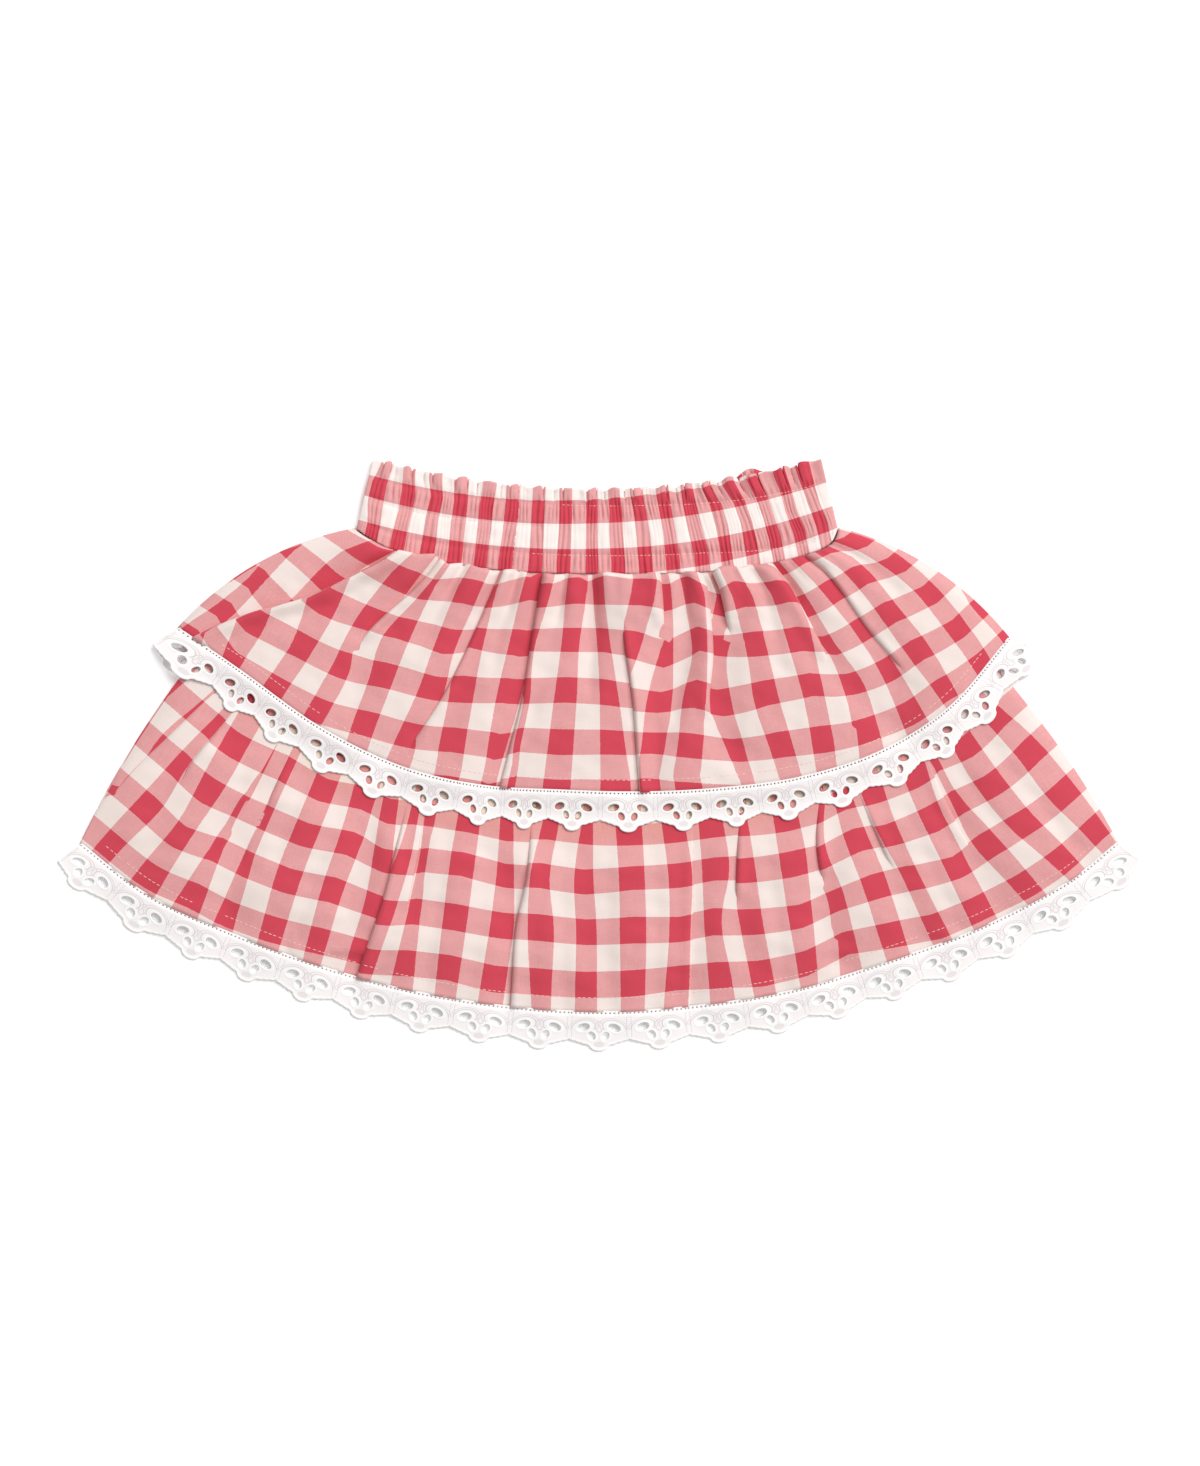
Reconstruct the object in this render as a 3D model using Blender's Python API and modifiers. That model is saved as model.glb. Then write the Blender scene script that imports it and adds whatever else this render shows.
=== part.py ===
"""Girl's two-tier gingham skort, laid flat on its back.

Millimetres inside the functions, metres in the scene.  +Z up, +Y towards the
waistband, +X to the wearer's left.  The layers lie on one another: upper tier
back, underskirt and lower tier back, shorts, underskirt and lower tier front,
upper tier front.  Every layer is a thin wall.
"""
import math

import bmesh
import bpy
import numpy as np

# ---------------------------------------------------------------- sizes (mm)
WALL = 1.0                # wall of one layer of cloth
BAND_WALL = 2.0           # waistband: casing with its elastic
HEADING = 0.55            # ruffle heading's wall, as a share of the band's
GAP = 0.3                 # between pieces at a seam, and between layers

SEAM_MID = 91.8                    # lowest point of the waist seam in Y
BAND_HALF, BAND_SAG, BAND_MID = 112.2, 15.4, 133.2  # top edge of the band
TIER1_BULGE, TIER2_BULGE = 8.5, 4.0                 # how far the side edges round out
YOKE_IN, YOKE_END = 0.035, 0.92    # underskirt: inset of its sides and its lower seam, as shares of the upper tier
SHORTS_IN = 0.08                   # inset of the shorts' sides at the waist, a share of the seam
RISE, LEG_GAP = 146.0, 5.0         # waist seam to crotch, half the gap between the legs
LEG_IN, LEG_OUT = 42.0, 12.0       # leg hem below the crotch, at the inside and at the outside
LEG_X = 152.0                      # leg hem's outer corner

LACE_DEEP, LACE_VALLEY = 20.6, 15.4         # lace: to a scallop's tip, to the valley between two
SCALLOPS1, SCALLOPS2 = 17, 19
FLARE1, FLARE2 = 9.0, 6.0                   # how far the lace's ends spread past the tier's sides

# underside of each layer, from the floor up
Z_TIER1_BACK = 0.0
Z_YOKE_BACK = 1.3
Z_SHORTS_BACK = 2.6
Z_SHORTS_FRONT = 3.9
Z_YOKE_FRONT = 5.2
Z_TIER1_FRONT = 6.9
PUFF1, PUFF2 = 3.0, 2.6      # how far the cloth stands up between two creases

CENTRE_X, CENTRE_Y = 1.08, 0.05    # middle of the outline, which is the part's origin

# waist seam, left to right (X, Y)
SEAM_LINE = [(-120.3, 114.5), (-114.0, 110.0), (-104.0, 104.7), (-92.0, 101.0), (-78.0, 97.8), (-62.0, 95.3),
             (-45.0, 93.4), (-25.0, 92.2), (0.0, 91.8), (25.0, 91.9), (45.0, 92.4), (62.0, 93.4), (78.0, 95.3),
             (92.0, 98.0), (104.0, 101.2), (112.0, 104.2), (117.5, 108.2), (120.3, 114.5)]
# hem of the upper tier and of the lower tier, left to right (X, Y)
HEM1 = [(-209.5, 64.5), (-178.5, 43.5), (-138.5, 15.0), (-98.5, -4.5), (-58.5, -14.0), (-18.5, -16.5),
        (21.5, -17.5), (61.5, -15.5), (101.5, -10.0), (141.5, 3.0), (176.5, 25.5), (206.0, 59.5)]
HEM2 = [(-258.5, -43.5), (-224.0, -69.5), (-182.5, -88.5), (-137.5, -105.0), (-93.0, -117.0), (-43.0, -125.0),
        (5.0, -127.5), (50.0, -124.5), (99.0, -116.5), (145.0, -102.5), (189.5, -86.5), (233.5, -64.0), (260.5, -43.0)]

# main creases: share of the width where the crease runs at the top, a quarter, half, three quarters and the bottom,
# half width and depth in mm, and the share of the height where it starts and fades out
CREASES1 = [
    # top   1/4    1/2    3/4    bottom  half  deep  from   to
    (0.080, 0.086, 0.070, 0.044, 0.015,  9.0,  2.6, -0.2, 1.20),
    (0.188, 0.178, 0.175, 0.195, 0.210, 10.0,  2.2, -0.2, 0.95),
    (0.295, 0.310, 0.314, 0.297, 0.268, 11.0,  3.0, -0.2, 1.20),
    (0.384, 0.388, 0.396, 0.396, 0.392, 10.0,  2.2, -0.2, 1.20),
    (0.479, 0.495, 0.508, 0.510, 0.512,  8.0,  1.6, -0.2, 0.50),
    (0.615, 0.619, 0.597, 0.572, 0.549, 10.0,  3.0, -0.2, 1.20),
    (0.710, 0.708, 0.668, 0.652, 0.672, 10.0,  2.6, -0.2, 1.00),
    (0.858, 0.833, 0.823, 0.834, 0.843, 10.0,  2.4, -0.2, 1.20),
    (0.919, 0.908, 0.886, 0.874, 0.870,  9.0,  2.4, -0.2, 0.95),
]
CREASES2 = [
    (0.045, 0.044, 0.043, 0.050, 0.060, 10.0,  1.8,  0.25, 0.90),
    (0.114, 0.117, 0.116, 0.116, 0.120,  9.0,  2.0,  0.25, 0.85),
    (0.130, 0.134, 0.141, 0.142, 0.158, 10.0,  2.0,  0.25, 1.20),
    (0.225, 0.236, 0.256, 0.262, 0.277, 10.0,  2.4,  0.25, 1.20),
    (0.300, 0.303, 0.312, 0.320, 0.325,  9.0,  1.6,  0.25, 0.80),
    (0.370, 0.384, 0.408, 0.420, 0.421, 10.0,  2.4,  0.25, 1.20),
    (0.492, 0.493, 0.486, 0.496, 0.505, 10.0,  1.8,  0.25, 0.90),
    (0.612, 0.609, 0.600, 0.590, 0.581, 10.0,  2.4,  0.25, 1.20),
    (0.665, 0.665, 0.644, 0.640, 0.642,  9.0,  1.6,  0.25, 1.00),
    (0.780, 0.764, 0.736, 0.721, 0.729, 10.0,  2.2,  0.25, 1.20),
    (0.800, 0.797, 0.798, 0.801, 0.804,  9.0,  1.6,  0.25, 1.20),
    (0.895, 0.890, 0.878, 0.874, 0.881, 10.0,  2.0,  0.25, 1.20),
]

# ------------------------------------------------------------------ helpers


def smooth(x, a, b):
    """0 below a, 1 above b, soft between."""
    t = np.clip((np.asarray(x, float) - a) / (b - a), 0.0, 1.0)
    return t * t * (3.0 - 2.0 * t)


def rounded(x, width):
    """Quarter round: 0 at x = 0, 1 from x = width on."""
    t = np.clip(1.0 - np.asarray(x, float) / width, 0.0, 1.0)
    return np.sqrt(1.0 - t * t)


class Curve:
    """Smooth curve through points, read by its share of the length."""

    def __init__(self, points, per=16):
        p = np.array(points, float)
        p = np.vstack([2 * p[0] - p[1], p, 2 * p[-1] - p[-2]])
        t = np.linspace(0, 1, per, endpoint=False)[:, None]
        rows = []
        for i in range(1, len(p) - 2):
            a, b, c, d = p[i - 1:i + 3]
            rows.append(0.5 * (2 * b + (c - a) * t + (2 * a - 5 * b + 4 * c - d) * t ** 2
                               + (3 * b - a - 3 * c + d) * t ** 3))
        self.points = np.vstack(rows + [p[-2][None]])
        steps = np.linalg.norm(np.diff(self.points, axis=0), axis=1)
        self.along = np.concatenate([[0.0], np.cumsum(steps)])
        self.length = self.along[-1]

    def at(self, share):
        s = np.asarray(share, float) * self.length
        return np.stack([np.interp(s, self.along, self.points[:, k]) for k in (0, 1)], -1)


def arc(half, sag, low):
    radius = (half * half + sag * sag) / (2 * sag)
    turn = np.linspace(-1, 1, 25) * math.asin(half / radius)
    return Curve(np.stack([radius * np.sin(turn), low + radius * (1 - np.cos(turn))], 1), 4)


SEAM = Curve(SEAM_LINE, 4)
TOP = arc(BAND_HALF, BAND_SAG, BAND_MID)
EDGE1, EDGE2 = Curve(HEM1), Curve(HEM2)


def ruled(start, end, f, v, bulge):
    """Point between two edges: f across, v from start (0) to end (1); the sides round out by bulge."""
    d = end - start
    n = np.stack([d[..., 1], -d[..., 0]], -1) / np.linalg.norm(d, axis=-1)[..., None]
    n *= np.where(n[..., 0] * np.where(f < 0.5, -1.0, 1.0) > 0, 1.0, -1.0)[..., None]
    w = (1 - smooth(np.minimum(f, 1 - f), 0, 0.16)) * 4 * v * (1 - v) * bulge
    return start + d * v[..., None] + n * w[..., None]


def tier1_plan(f, v):
    return ruled(SEAM.at(f), EDGE1.at(f), f, v, TIER1_BULGE)


def yoke_f(f):
    return YOKE_IN + (1 - 2 * YOKE_IN) * f


def yoke_plan(f, v):
    return tier1_plan(yoke_f(f), v * YOKE_END)


def tier2_plan(f, v):
    return ruled(yoke_plan(f, np.ones_like(f)), EDGE2.at(f), f, v, TIER2_BULGE)


def band_plan(f, v):
    a, b = SEAM.at(f), TOP.at(f)
    return a + (b - a) * v[..., None]


def lace_plan(edge, f, v, count, flare):
    """Lace beyond an edge: v = 0 at the edge, 1 at the scallops, whose depth follows f."""
    a = edge.at(f)
    t = edge.at(np.clip(f + 0.004, 0, 1)) - edge.at(np.clip(f - 0.004, 0, 1))
    t /= np.linalg.norm(t, axis=-1)[..., None]
    out = np.stack([t[..., 1], -t[..., 0]], -1)
    lobe = np.abs(np.sin(math.pi * f * count)) ** 0.7
    deep = v * (LACE_VALLEY + (LACE_DEEP - LACE_VALLEY) * lobe)
    spread = v * flare * (smooth(f, 0.9, 1.0) - smooth(1 - f, 0.9, 1.0))
    return a + out * (GAP + 0.1 + deep)[..., None] + t * spread[..., None]


def puff(f, v, length, creases, height):
    """Cloth standing up by height between soft creases."""
    z = np.full_like(f, height)
    for c0, c1, c2, c3, c4, half, deep, start, stop in creases:
        centre = np.interp(v, [0, 0.25, 0.5, 0.75, 1.0], [c0, c1, c2, c3, c4])
        d = (f - centre) * length / half
        z = z - deep * np.exp(-d * d) * smooth(v, start, start + 0.15) * (1 - smooth(v, stop - 0.2, stop))
    return np.maximum(z, 0.0)


# ------------------------------------------------- underside of each layer


def side(f, width):
    return rounded(np.minimum(f, 1 - f), width)


def z_tier1_front(f, v):
    length = SEAM.length + (EDGE1.length - SEAM.length) * v
    low = Z_TIER1_BACK + WALL + GAP
    s = side(f, 0.07)
    inner = smooth(np.minimum(f, 1 - f), 0.02, 0.10)
    return low + (Z_TIER1_FRONT - low) * s + puff(f, v, length, CREASES1, PUFF1) * inner


def under_tier1(v):
    """1 where the lower tier's back lies on the upper tier's back, 0 where it lies on the floor."""
    return 1 - smooth(v, 0.27, 0.40)


def z_yoke_front(f, v):
    return Z_YOKE_BACK + WALL + GAP + (Z_YOKE_FRONT - Z_YOKE_BACK - WALL - GAP) * side(f, 0.045)


def z_tier2_back(f, v):
    return Z_YOKE_BACK * under_tier1(v)


def z_tier2_front(f, v):
    low = z_tier2_back(f, v) + WALL + GAP
    high = Z_YOKE_FRONT + (1.9 - Z_YOKE_FRONT) * smooth(v, 0.74, 1.0)
    length = EDGE1.length + (EDGE2.length - EDGE1.length) * v
    inner = smooth(np.minimum(f, 1 - f), 0.0, 0.08) * smooth(v, 0.27, 0.42)
    return low + (high - low) * side(f, 0.045) + puff(f, v, length, CREASES2, PUFF2) * inner


def z_band_front(f, v):
    """The front band climbs from the back band at its top to the layers sewn into its seam."""
    low = BAND_WALL + GAP
    climb = (Z_YOKE_FRONT + 0.2 - low) * (1 - smooth(v, 0.0, 0.85)) * side(f, 0.07)
    return low + climb


def flat(level):
    return lambda f, v: np.full_like(f, level)


# ------------------------------------------------------------------- pieces


def material(name, colour, rough):
    m = bpy.data.materials.new(name)
    m.use_nodes = True
    shader = m.node_tree.nodes["Principled BSDF"]
    shader.inputs["Base Color"].default_value = (*colour, 1.0)
    shader.inputs["Roughness"].default_value = rough
    shader.inputs["Metallic"].default_value = 0.0
    return m


def shell(name, plan, height, fs, vs, mat, wall=WALL, weight=None):
    """Thin wall of cloth: an open sheet over plan and its upper side, thickened downwards."""
    f, v = np.meshgrid(np.asarray(fs, float), np.asarray(vs, float))
    xy = plan(f, v)
    z = height(f, v) + wall * (weight(f, v) if weight is not None else 1.0)
    rows, cols = f.shape
    mesh = bpy.data.meshes.new(name)
    bm = bmesh.new()
    grid = [[bm.verts.new(((xy[r, c, 0] - CENTRE_X) / 1000, (xy[r, c, 1] - CENTRE_Y) / 1000, z[r, c] / 1000))
             for c in range(cols)] for r in range(rows)]
    for r in range(rows - 1):
        for c in range(cols - 1):
            bm.faces.new((grid[r][c], grid[r + 1][c], grid[r + 1][c + 1], grid[r][c + 1]))
    bm.normal_update()
    if sum(face.normal.z * face.calc_area() for face in bm.faces) < 0:
        bmesh.ops.reverse_faces(bm, faces=bm.faces)
    bm.to_mesh(mesh)
    bm.free()
    mesh.shade_smooth()
    obj = bpy.data.objects.new(name, mesh)
    group.objects.link(obj)
    obj.data.materials.append(mat)
    thick = obj.modifiers.new("wall", "SOLIDIFY")
    thick.thickness = wall / 1000
    thick.offset = -1.0
    thick.use_even_offset = False
    if weight is not None:
        share = obj.vertex_groups.new(name="wall")
        for i, w in enumerate(weight(f, v).ravel()):
            share.add([i], float(w), "REPLACE")
        thick.vertex_group = "wall"
    return obj


def columns(middle, sides=(0.0, 0.012, 0.026, 0.045)):
    """Shares across a panel: close together at the two sides, even between them."""
    inside = np.linspace(0.07, 0.93, middle)
    return np.concatenate([sides, inside, [1 - s for s in reversed(sides)]])


def shorts_plan(left):
    """One leg's half panel, from the centre seam (f = 0) to the side (f = 1), waist (v = 0) to leg hem (v = 1)."""
    def plan(f, v):
        way = -1.0 if left else 1.0
        waist = SEAM.at(0.5 + way * f * (0.5 - SHORTS_IN))
        crotch = SEAM_MID - RISE
        hip = np.stack([way * (LEG_GAP * 0.4 + f * (LEG_X - 6)), np.full_like(f, crotch)], -1)
        hem = np.stack([way * (LEG_GAP + f * (LEG_X - LEG_GAP)), crotch - LEG_IN + f * (LEG_IN - LEG_OUT)], -1)
        waist[..., 0] += way * GAP * 0.5 * (1 - f)
        waist[..., 1] -= GAP + 0.1
        t = np.clip(v / 0.76, 0, 1)[..., None]
        u = np.clip((v - 0.76) / 0.24, 0, 1)[..., None]
        return (waist * (1 - t) + hip * t) * (v <= 0.76)[..., None] + (hip * (1 - u) + hem * u) * (v > 0.76)[..., None]
    return plan


for old in list(bpy.data.objects):
    bpy.data.objects.remove(old, do_unlink=True)

group = bpy.data.collections.new("skort")
bpy.context.scene.collection.children.link(group)

gingham = material("gingham_cotton", (0.62, 0.20, 0.23), 0.85)
gingham_band = material("gingham_band", (0.62, 0.16, 0.20), 0.85)
lace = material("eyelet_lace", (0.88, 0.87, 0.86), 0.8)
lining = material("plain_cotton", (0.86, 0.82, 0.78), 0.85)
jersey = material("plain_jersey", (0.84, 0.80, 0.78), 0.9)

SEAM_START = 0.004      # panels start this share of their length below the waist seam, a gap of about 0.4 mm

rows1 = np.concatenate([[SEAM_START], np.linspace(0, 1, 9)[1:]])
rows2 = np.concatenate([[SEAM_START], np.linspace(0, 1, 10)[1:]])

shell("tier1_back", tier1_plan, flat(Z_TIER1_BACK), columns(20, (0.0, 0.035)), np.linspace(SEAM_START, 1, 6), gingham)
shell("tier1_front", tier1_plan, z_tier1_front, columns(36), rows1, gingham)
shell("yoke_back", yoke_plan, flat(Z_YOKE_BACK), columns(14, (0.0, 0.035)), np.linspace(SEAM_START, 1, 5), lining)
shell("yoke_front", yoke_plan, z_yoke_front, columns(14), np.linspace(SEAM_START, 1, 5), lining)
shell("tier2_back", tier2_plan, z_tier2_back, columns(22, (0.0, 0.035)),
      [SEAM_START, 0.14, 0.27, 0.31, 0.36, 0.40, 0.7, 1.0], gingham)
shell("tier2_front", tier2_plan, z_tier2_front, columns(40), rows2, gingham)

for name, edge, count, flare, upper in (
        ("lace1", EDGE1, SCALLOPS1, FLARE1, z_tier1_front),
        ("lace2", EDGE2, SCALLOPS2, FLARE2, z_tier2_front)):
    fs = np.linspace(0, 1, count * 4 + 1)

    def beyond(f, v, edge=edge, count=count, flare=flare):
        return lace_plan(edge, f, v, count, flare)

    def on_top(f, v, upper=upper):
        return upper(f, np.ones_like(f))

    shell(name + "_back", beyond, flat(0.0), fs, [0.0, 1.0], lace)
    shell(name + "_front", beyond, on_top, fs, [0.0, 1.0], lace)

for name, level in (("shorts_back", Z_SHORTS_BACK), ("shorts_front", Z_SHORTS_FRONT)):
    for half, left in (("left", True), ("right", False)):
        shell(name + "_" + half, shorts_plan(left), flat(level), np.linspace(0, 1, 7),
              [0.0, 0.25, 0.5, 0.76, 0.88, 1.0], jersey)


def casing(f, v):
    """Full wall over the elastic, thinner in the heading above it."""
    return 1.0 - (1.0 - HEADING) * smooth(v, 0.74, 0.82)


def gathered(base, height, count):
    """Vertical gathers of the shirred band."""
    def z(f, v):
        ripple = np.abs(np.sin(math.pi * f * count)) * height * smooth(np.minimum(f, 1 - f), 0.0, 0.05)
        return base(f, v) + ripple * (0.7 + 0.6 * v)
    return z


band_rows = [0.0, 0.3, 0.6, 0.74, 0.84, 1.0]
shell("waistband_back", band_plan, flat(0.0), np.linspace(0, 1, 25), band_rows, gingham_band, BAND_WALL, casing)
shell("waistband_front", band_plan, gathered(z_band_front, 0.7, 18), np.linspace(0, 1, 37), band_rows,
      gingham_band, BAND_WALL, casing)
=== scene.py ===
"""Girl's two-tier gingham skort laid flat: looks.

Millimetres inside the functions, metres in the scene.  +Z up, +Y towards the waistband.
The layers, seams and hems repeat the sizes of the solids they stand for.
"""

import math

import bpy
import numpy as np
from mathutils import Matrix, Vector
from mathutils.geometry import delaunay_2d_cdt


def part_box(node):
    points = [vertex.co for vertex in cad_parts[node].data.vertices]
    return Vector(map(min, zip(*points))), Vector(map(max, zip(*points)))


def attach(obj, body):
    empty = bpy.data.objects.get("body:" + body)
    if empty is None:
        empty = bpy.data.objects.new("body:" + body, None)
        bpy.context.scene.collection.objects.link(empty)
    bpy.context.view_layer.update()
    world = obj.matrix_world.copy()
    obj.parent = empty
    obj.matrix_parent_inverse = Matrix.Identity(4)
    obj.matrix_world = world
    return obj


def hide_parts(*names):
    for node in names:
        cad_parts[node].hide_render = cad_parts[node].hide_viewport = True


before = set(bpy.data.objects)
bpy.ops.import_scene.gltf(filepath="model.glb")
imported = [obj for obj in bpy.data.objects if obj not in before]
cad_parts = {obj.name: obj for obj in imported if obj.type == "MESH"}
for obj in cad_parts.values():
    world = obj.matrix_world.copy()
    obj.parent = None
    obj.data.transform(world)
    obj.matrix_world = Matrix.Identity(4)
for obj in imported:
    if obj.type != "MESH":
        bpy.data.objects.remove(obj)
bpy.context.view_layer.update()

# ------------------------------------------------------------- sizes (mm), as the solids have them
WALL, BAND_WALL, GAP = 1.0, 2.0, 0.3
BAND_HALF, BAND_SAG, BAND_MID = 112.2, 15.4, 133.2
TIER1_BULGE, TIER2_BULGE = 8.5, 4.0
YOKE_IN, YOKE_END = 0.035, 0.92
LACE_DEEP, LACE_VALLEY = 20.6, 15.4
SCALLOPS1, SCALLOPS2 = 17, 19
FLARE1, FLARE2 = 9.0, 6.0
Z_YOKE_BACK, Z_YOKE_FRONT, Z_TIER1_FRONT = 1.3, 5.2, 6.9
PUFF1, PUFF2 = 3.0, 2.6
CENTRE_X, CENTRE_Y = 1.08, 0.05
SEAM_LINE = [(-120.3, 114.5), (-114.0, 110.0), (-104.0, 104.7), (-92.0, 101.0), (-78.0, 97.8), (-62.0, 95.3),
             (-45.0, 93.4), (-25.0, 92.2), (0.0, 91.8), (25.0, 91.9), (45.0, 92.4), (62.0, 93.4), (78.0, 95.3),
             (92.0, 98.0), (104.0, 101.2), (112.0, 104.2), (117.5, 108.2), (120.3, 114.5)]
HEM1 = [(-209.5, 64.5), (-178.5, 43.5), (-138.5, 15.0), (-98.5, -4.5), (-58.5, -14.0), (-18.5, -16.5),
        (21.5, -17.5), (61.5, -15.5), (101.5, -10.0), (141.5, 3.0), (176.5, 25.5), (206.0, 59.5)]
HEM2 = [(-258.5, -43.5), (-224.0, -69.5), (-182.5, -88.5), (-137.5, -105.0), (-93.0, -117.0), (-43.0, -125.0),
        (5.0, -127.5), (50.0, -124.5), (99.0, -116.5), (145.0, -102.5), (189.5, -86.5), (233.5, -64.0), (260.5, -43.0)]
CREASES1 = [
    # top   1/4    1/2    3/4    bottom  half  deep  from   to
    (0.080, 0.086, 0.070, 0.044, 0.015,  9.0,  2.6, -0.2, 1.20),
    (0.188, 0.178, 0.175, 0.195, 0.210, 10.0,  2.2, -0.2, 0.95),
    (0.295, 0.310, 0.314, 0.297, 0.268, 11.0,  3.0, -0.2, 1.20),
    (0.384, 0.388, 0.396, 0.396, 0.392, 10.0,  2.2, -0.2, 1.20),
    (0.479, 0.495, 0.508, 0.510, 0.512,  8.0,  1.6, -0.2, 0.50),
    (0.615, 0.619, 0.597, 0.572, 0.549, 10.0,  3.0, -0.2, 1.20),
    (0.710, 0.708, 0.668, 0.652, 0.672, 10.0,  2.6, -0.2, 1.00),
    (0.858, 0.833, 0.823, 0.834, 0.843, 10.0,  2.4, -0.2, 1.20),
    (0.919, 0.908, 0.886, 0.874, 0.870,  9.0,  2.4, -0.2, 0.95),
]
CREASES2 = [
    (0.045, 0.044, 0.043, 0.050, 0.060, 10.0,  1.8,  0.25, 0.90),
    (0.114, 0.117, 0.116, 0.116, 0.120,  9.0,  2.0,  0.25, 0.85),
    (0.130, 0.134, 0.141, 0.142, 0.158, 10.0,  2.0,  0.25, 1.20),
    (0.225, 0.236, 0.256, 0.262, 0.277, 10.0,  2.4,  0.25, 1.20),
    (0.300, 0.303, 0.312, 0.320, 0.325,  9.0,  1.6,  0.25, 0.80),
    (0.370, 0.384, 0.408, 0.420, 0.421, 10.0,  2.4,  0.25, 1.20),
    (0.492, 0.493, 0.486, 0.496, 0.505, 10.0,  1.8,  0.25, 0.90),
    (0.612, 0.609, 0.600, 0.590, 0.581, 10.0,  2.4,  0.25, 1.20),
    (0.665, 0.665, 0.644, 0.640, 0.642,  9.0,  1.6,  0.25, 1.00),
    (0.780, 0.764, 0.736, 0.721, 0.729, 10.0,  2.2,  0.25, 1.20),
    (0.800, 0.797, 0.798, 0.801, 0.804,  9.0,  1.6,  0.25, 1.20),
    (0.895, 0.890, 0.878, 0.874, 0.881, 10.0,  2.0,  0.25, 1.20),
]

# ------------------------------------------------------------- the cloth as laid (mm, checks)
CHECK = 12.5                       # one check of the gingham
CLOTH = 0.45                       # the cloth's own wall
DEEP = 14.0                        # a fold is modelled to this width of cloth; more lies flat inside it
LIFT = 1.8                         # how high the folds stand, times the tables' lifts
PITCH1, PITCH2 = 12.33, 13.3       # length taken by one row of checks down each tier

# upper tier: row of checks at the hem (0 = the line between a red row above and a white row below), by share of width
HEM_ROW1 = [(0.0, 1.50), (0.071, 1.37), (0.121, 1.22), (0.188, 0.89), (0.236, 0.52), (0.284, 0.31), (0.329, 0.0),
            (0.373, -0.33), (0.503, -0.42), (0.601, -0.34), (0.698, 0.07), (0.747, 0.24), (0.80, 0.50),
            (0.858, 0.70), (0.899, 0.80), (0.969, 1.25), (1.0, 1.42)]
HEM_ROW2 = [(0.0, -0.55), (1.0, -0.55)]
ROWS1 = (7.5, 5.5, 3.5, 1.5)       # rows of checks at which the folds below are given
ROWS2 = (6.5, 4.5, 2.5, 0.5)

# folds: way (+1 the left layer lies on the right one, -1 the other way, 0 a valley between two gathers), where it
# runs in thousandths of the width at the four rows, the rows between which the cloth doubles there, and its height
FOLDS1 = [
    # way   at rows                 from  to    lift
    (-1, (86, 73, 44, 18),          9.9, -2.0, 2.8),
    (-1, (171, 160, 168, 186),      9.9, 4.6, 2.0),
    ( 0, (232, 236, 245, 253),      9.9, 5.0, 1.2),
    (-1, (302, 301, 296, 286),      9.9, 0.9, 1.8),
    ( 0, (341, 345, 355, 359),      9.9, 4.0, 1.0),
    (-1, (389, 394, 398, 396),      9.9, -2.0, 2.0),
    ( 0, (430, 430, 431, 432),      9.9, 6.0, 1.0),
    ( 0, (482, 486, 487, 488),      9.9, 3.0, 1.8),
    (-1, (538, 540, 546, 546),      6.6, -2.0, 1.8),
    (+1, (614, 601, 585, 575),      9.9, 6.2, 2.6),
    ( 0, (650, 633, 608, 589),      9.9, 2.0, 1.4),
    (+1, (692, 672, 648, 640),      9.9, 2.6, 1.8),
    (-1, (715, 700, 690, 680),      9.9, 6.4, 2.4),
    ( 0, (786, 766, 750, 738),      9.9, 4.0, 1.0),
    (+1, (839, 827, 812, 800),      9.9, 4.6, 2.0),
    (-1, (904, 891, 888, 880),      9.9, 3.0, 1.6),
    ( 0, (960, 950, 940, 940),      9.9, 5.0, 1.2),
]
FOLDS2 = [
    (-1, (34, 22, 9, 3),            9.9, 1.5, 1.4),
    (-1, (64, 56, 54, 45),          9.9, 3.6, 1.4),
    (+1, (123, 122, 121, 124),      9.9, 2.0, 1.4),
    (-1, (140, 140, 140, 143),      9.9, -2.0, 1.4),
    ( 0, (168, 168, 170, 172),      9.9, 2.0, 0.9),
    ( 0, (213, 213, 213, 213),      9.9, -2.0, 0.8),
    ( 0, (252, 256, 256, 254),      9.9, -2.0, 1.4),
    (-1, (283, 284, 284, 280),      9.9, -2.0, 1.8),
    (+1, (303, 308, 309, 306),      9.9, 2.2, 1.4),
    ( 0, (333, 337, 339, 340),      9.9, -2.0, 0.9),
    ( 0, (376, 381, 383, 382),      9.9, -2.0, 0.7),
    (-1, (425, 425, 418, 419),      9.9, -2.0, 1.8),
    ( 0, (467, 463, 465, 467),      9.9, -2.0, 0.9),
    ( 0, (512, 511, 510, 510),      9.9, -2.0, 0.8),
    ( 0, (560, 561, 558, 553),      9.9, -2.0, 0.8),
    (+1, (607, 601, 593, 586),      9.9, -2.0, 1.8),
    (-1, (662, 647, 636, 630),      9.9, 3.0, 1.6),
    ( 0, (688, 682, 676, 672),      9.9, -2.0, 0.8),
    (-1, (758, 735, 728, 726),      9.9, 3.0, 1.6),
    (-1, (797, 798, 800, 803),      9.9, 2.6, 1.4),
    ( 0, (840, 838, 837, 838),      9.9, -2.0, 0.8),
    (+1, (884, 879, 879, 885),      9.9, 2.2, 1.8),
    ( 0, (908, 907, 913, 923),      9.9, 2.0, 1.0),
    ( 0, (945, 948, 954, 966),      9.9, -2.0, 0.9),
]
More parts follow.
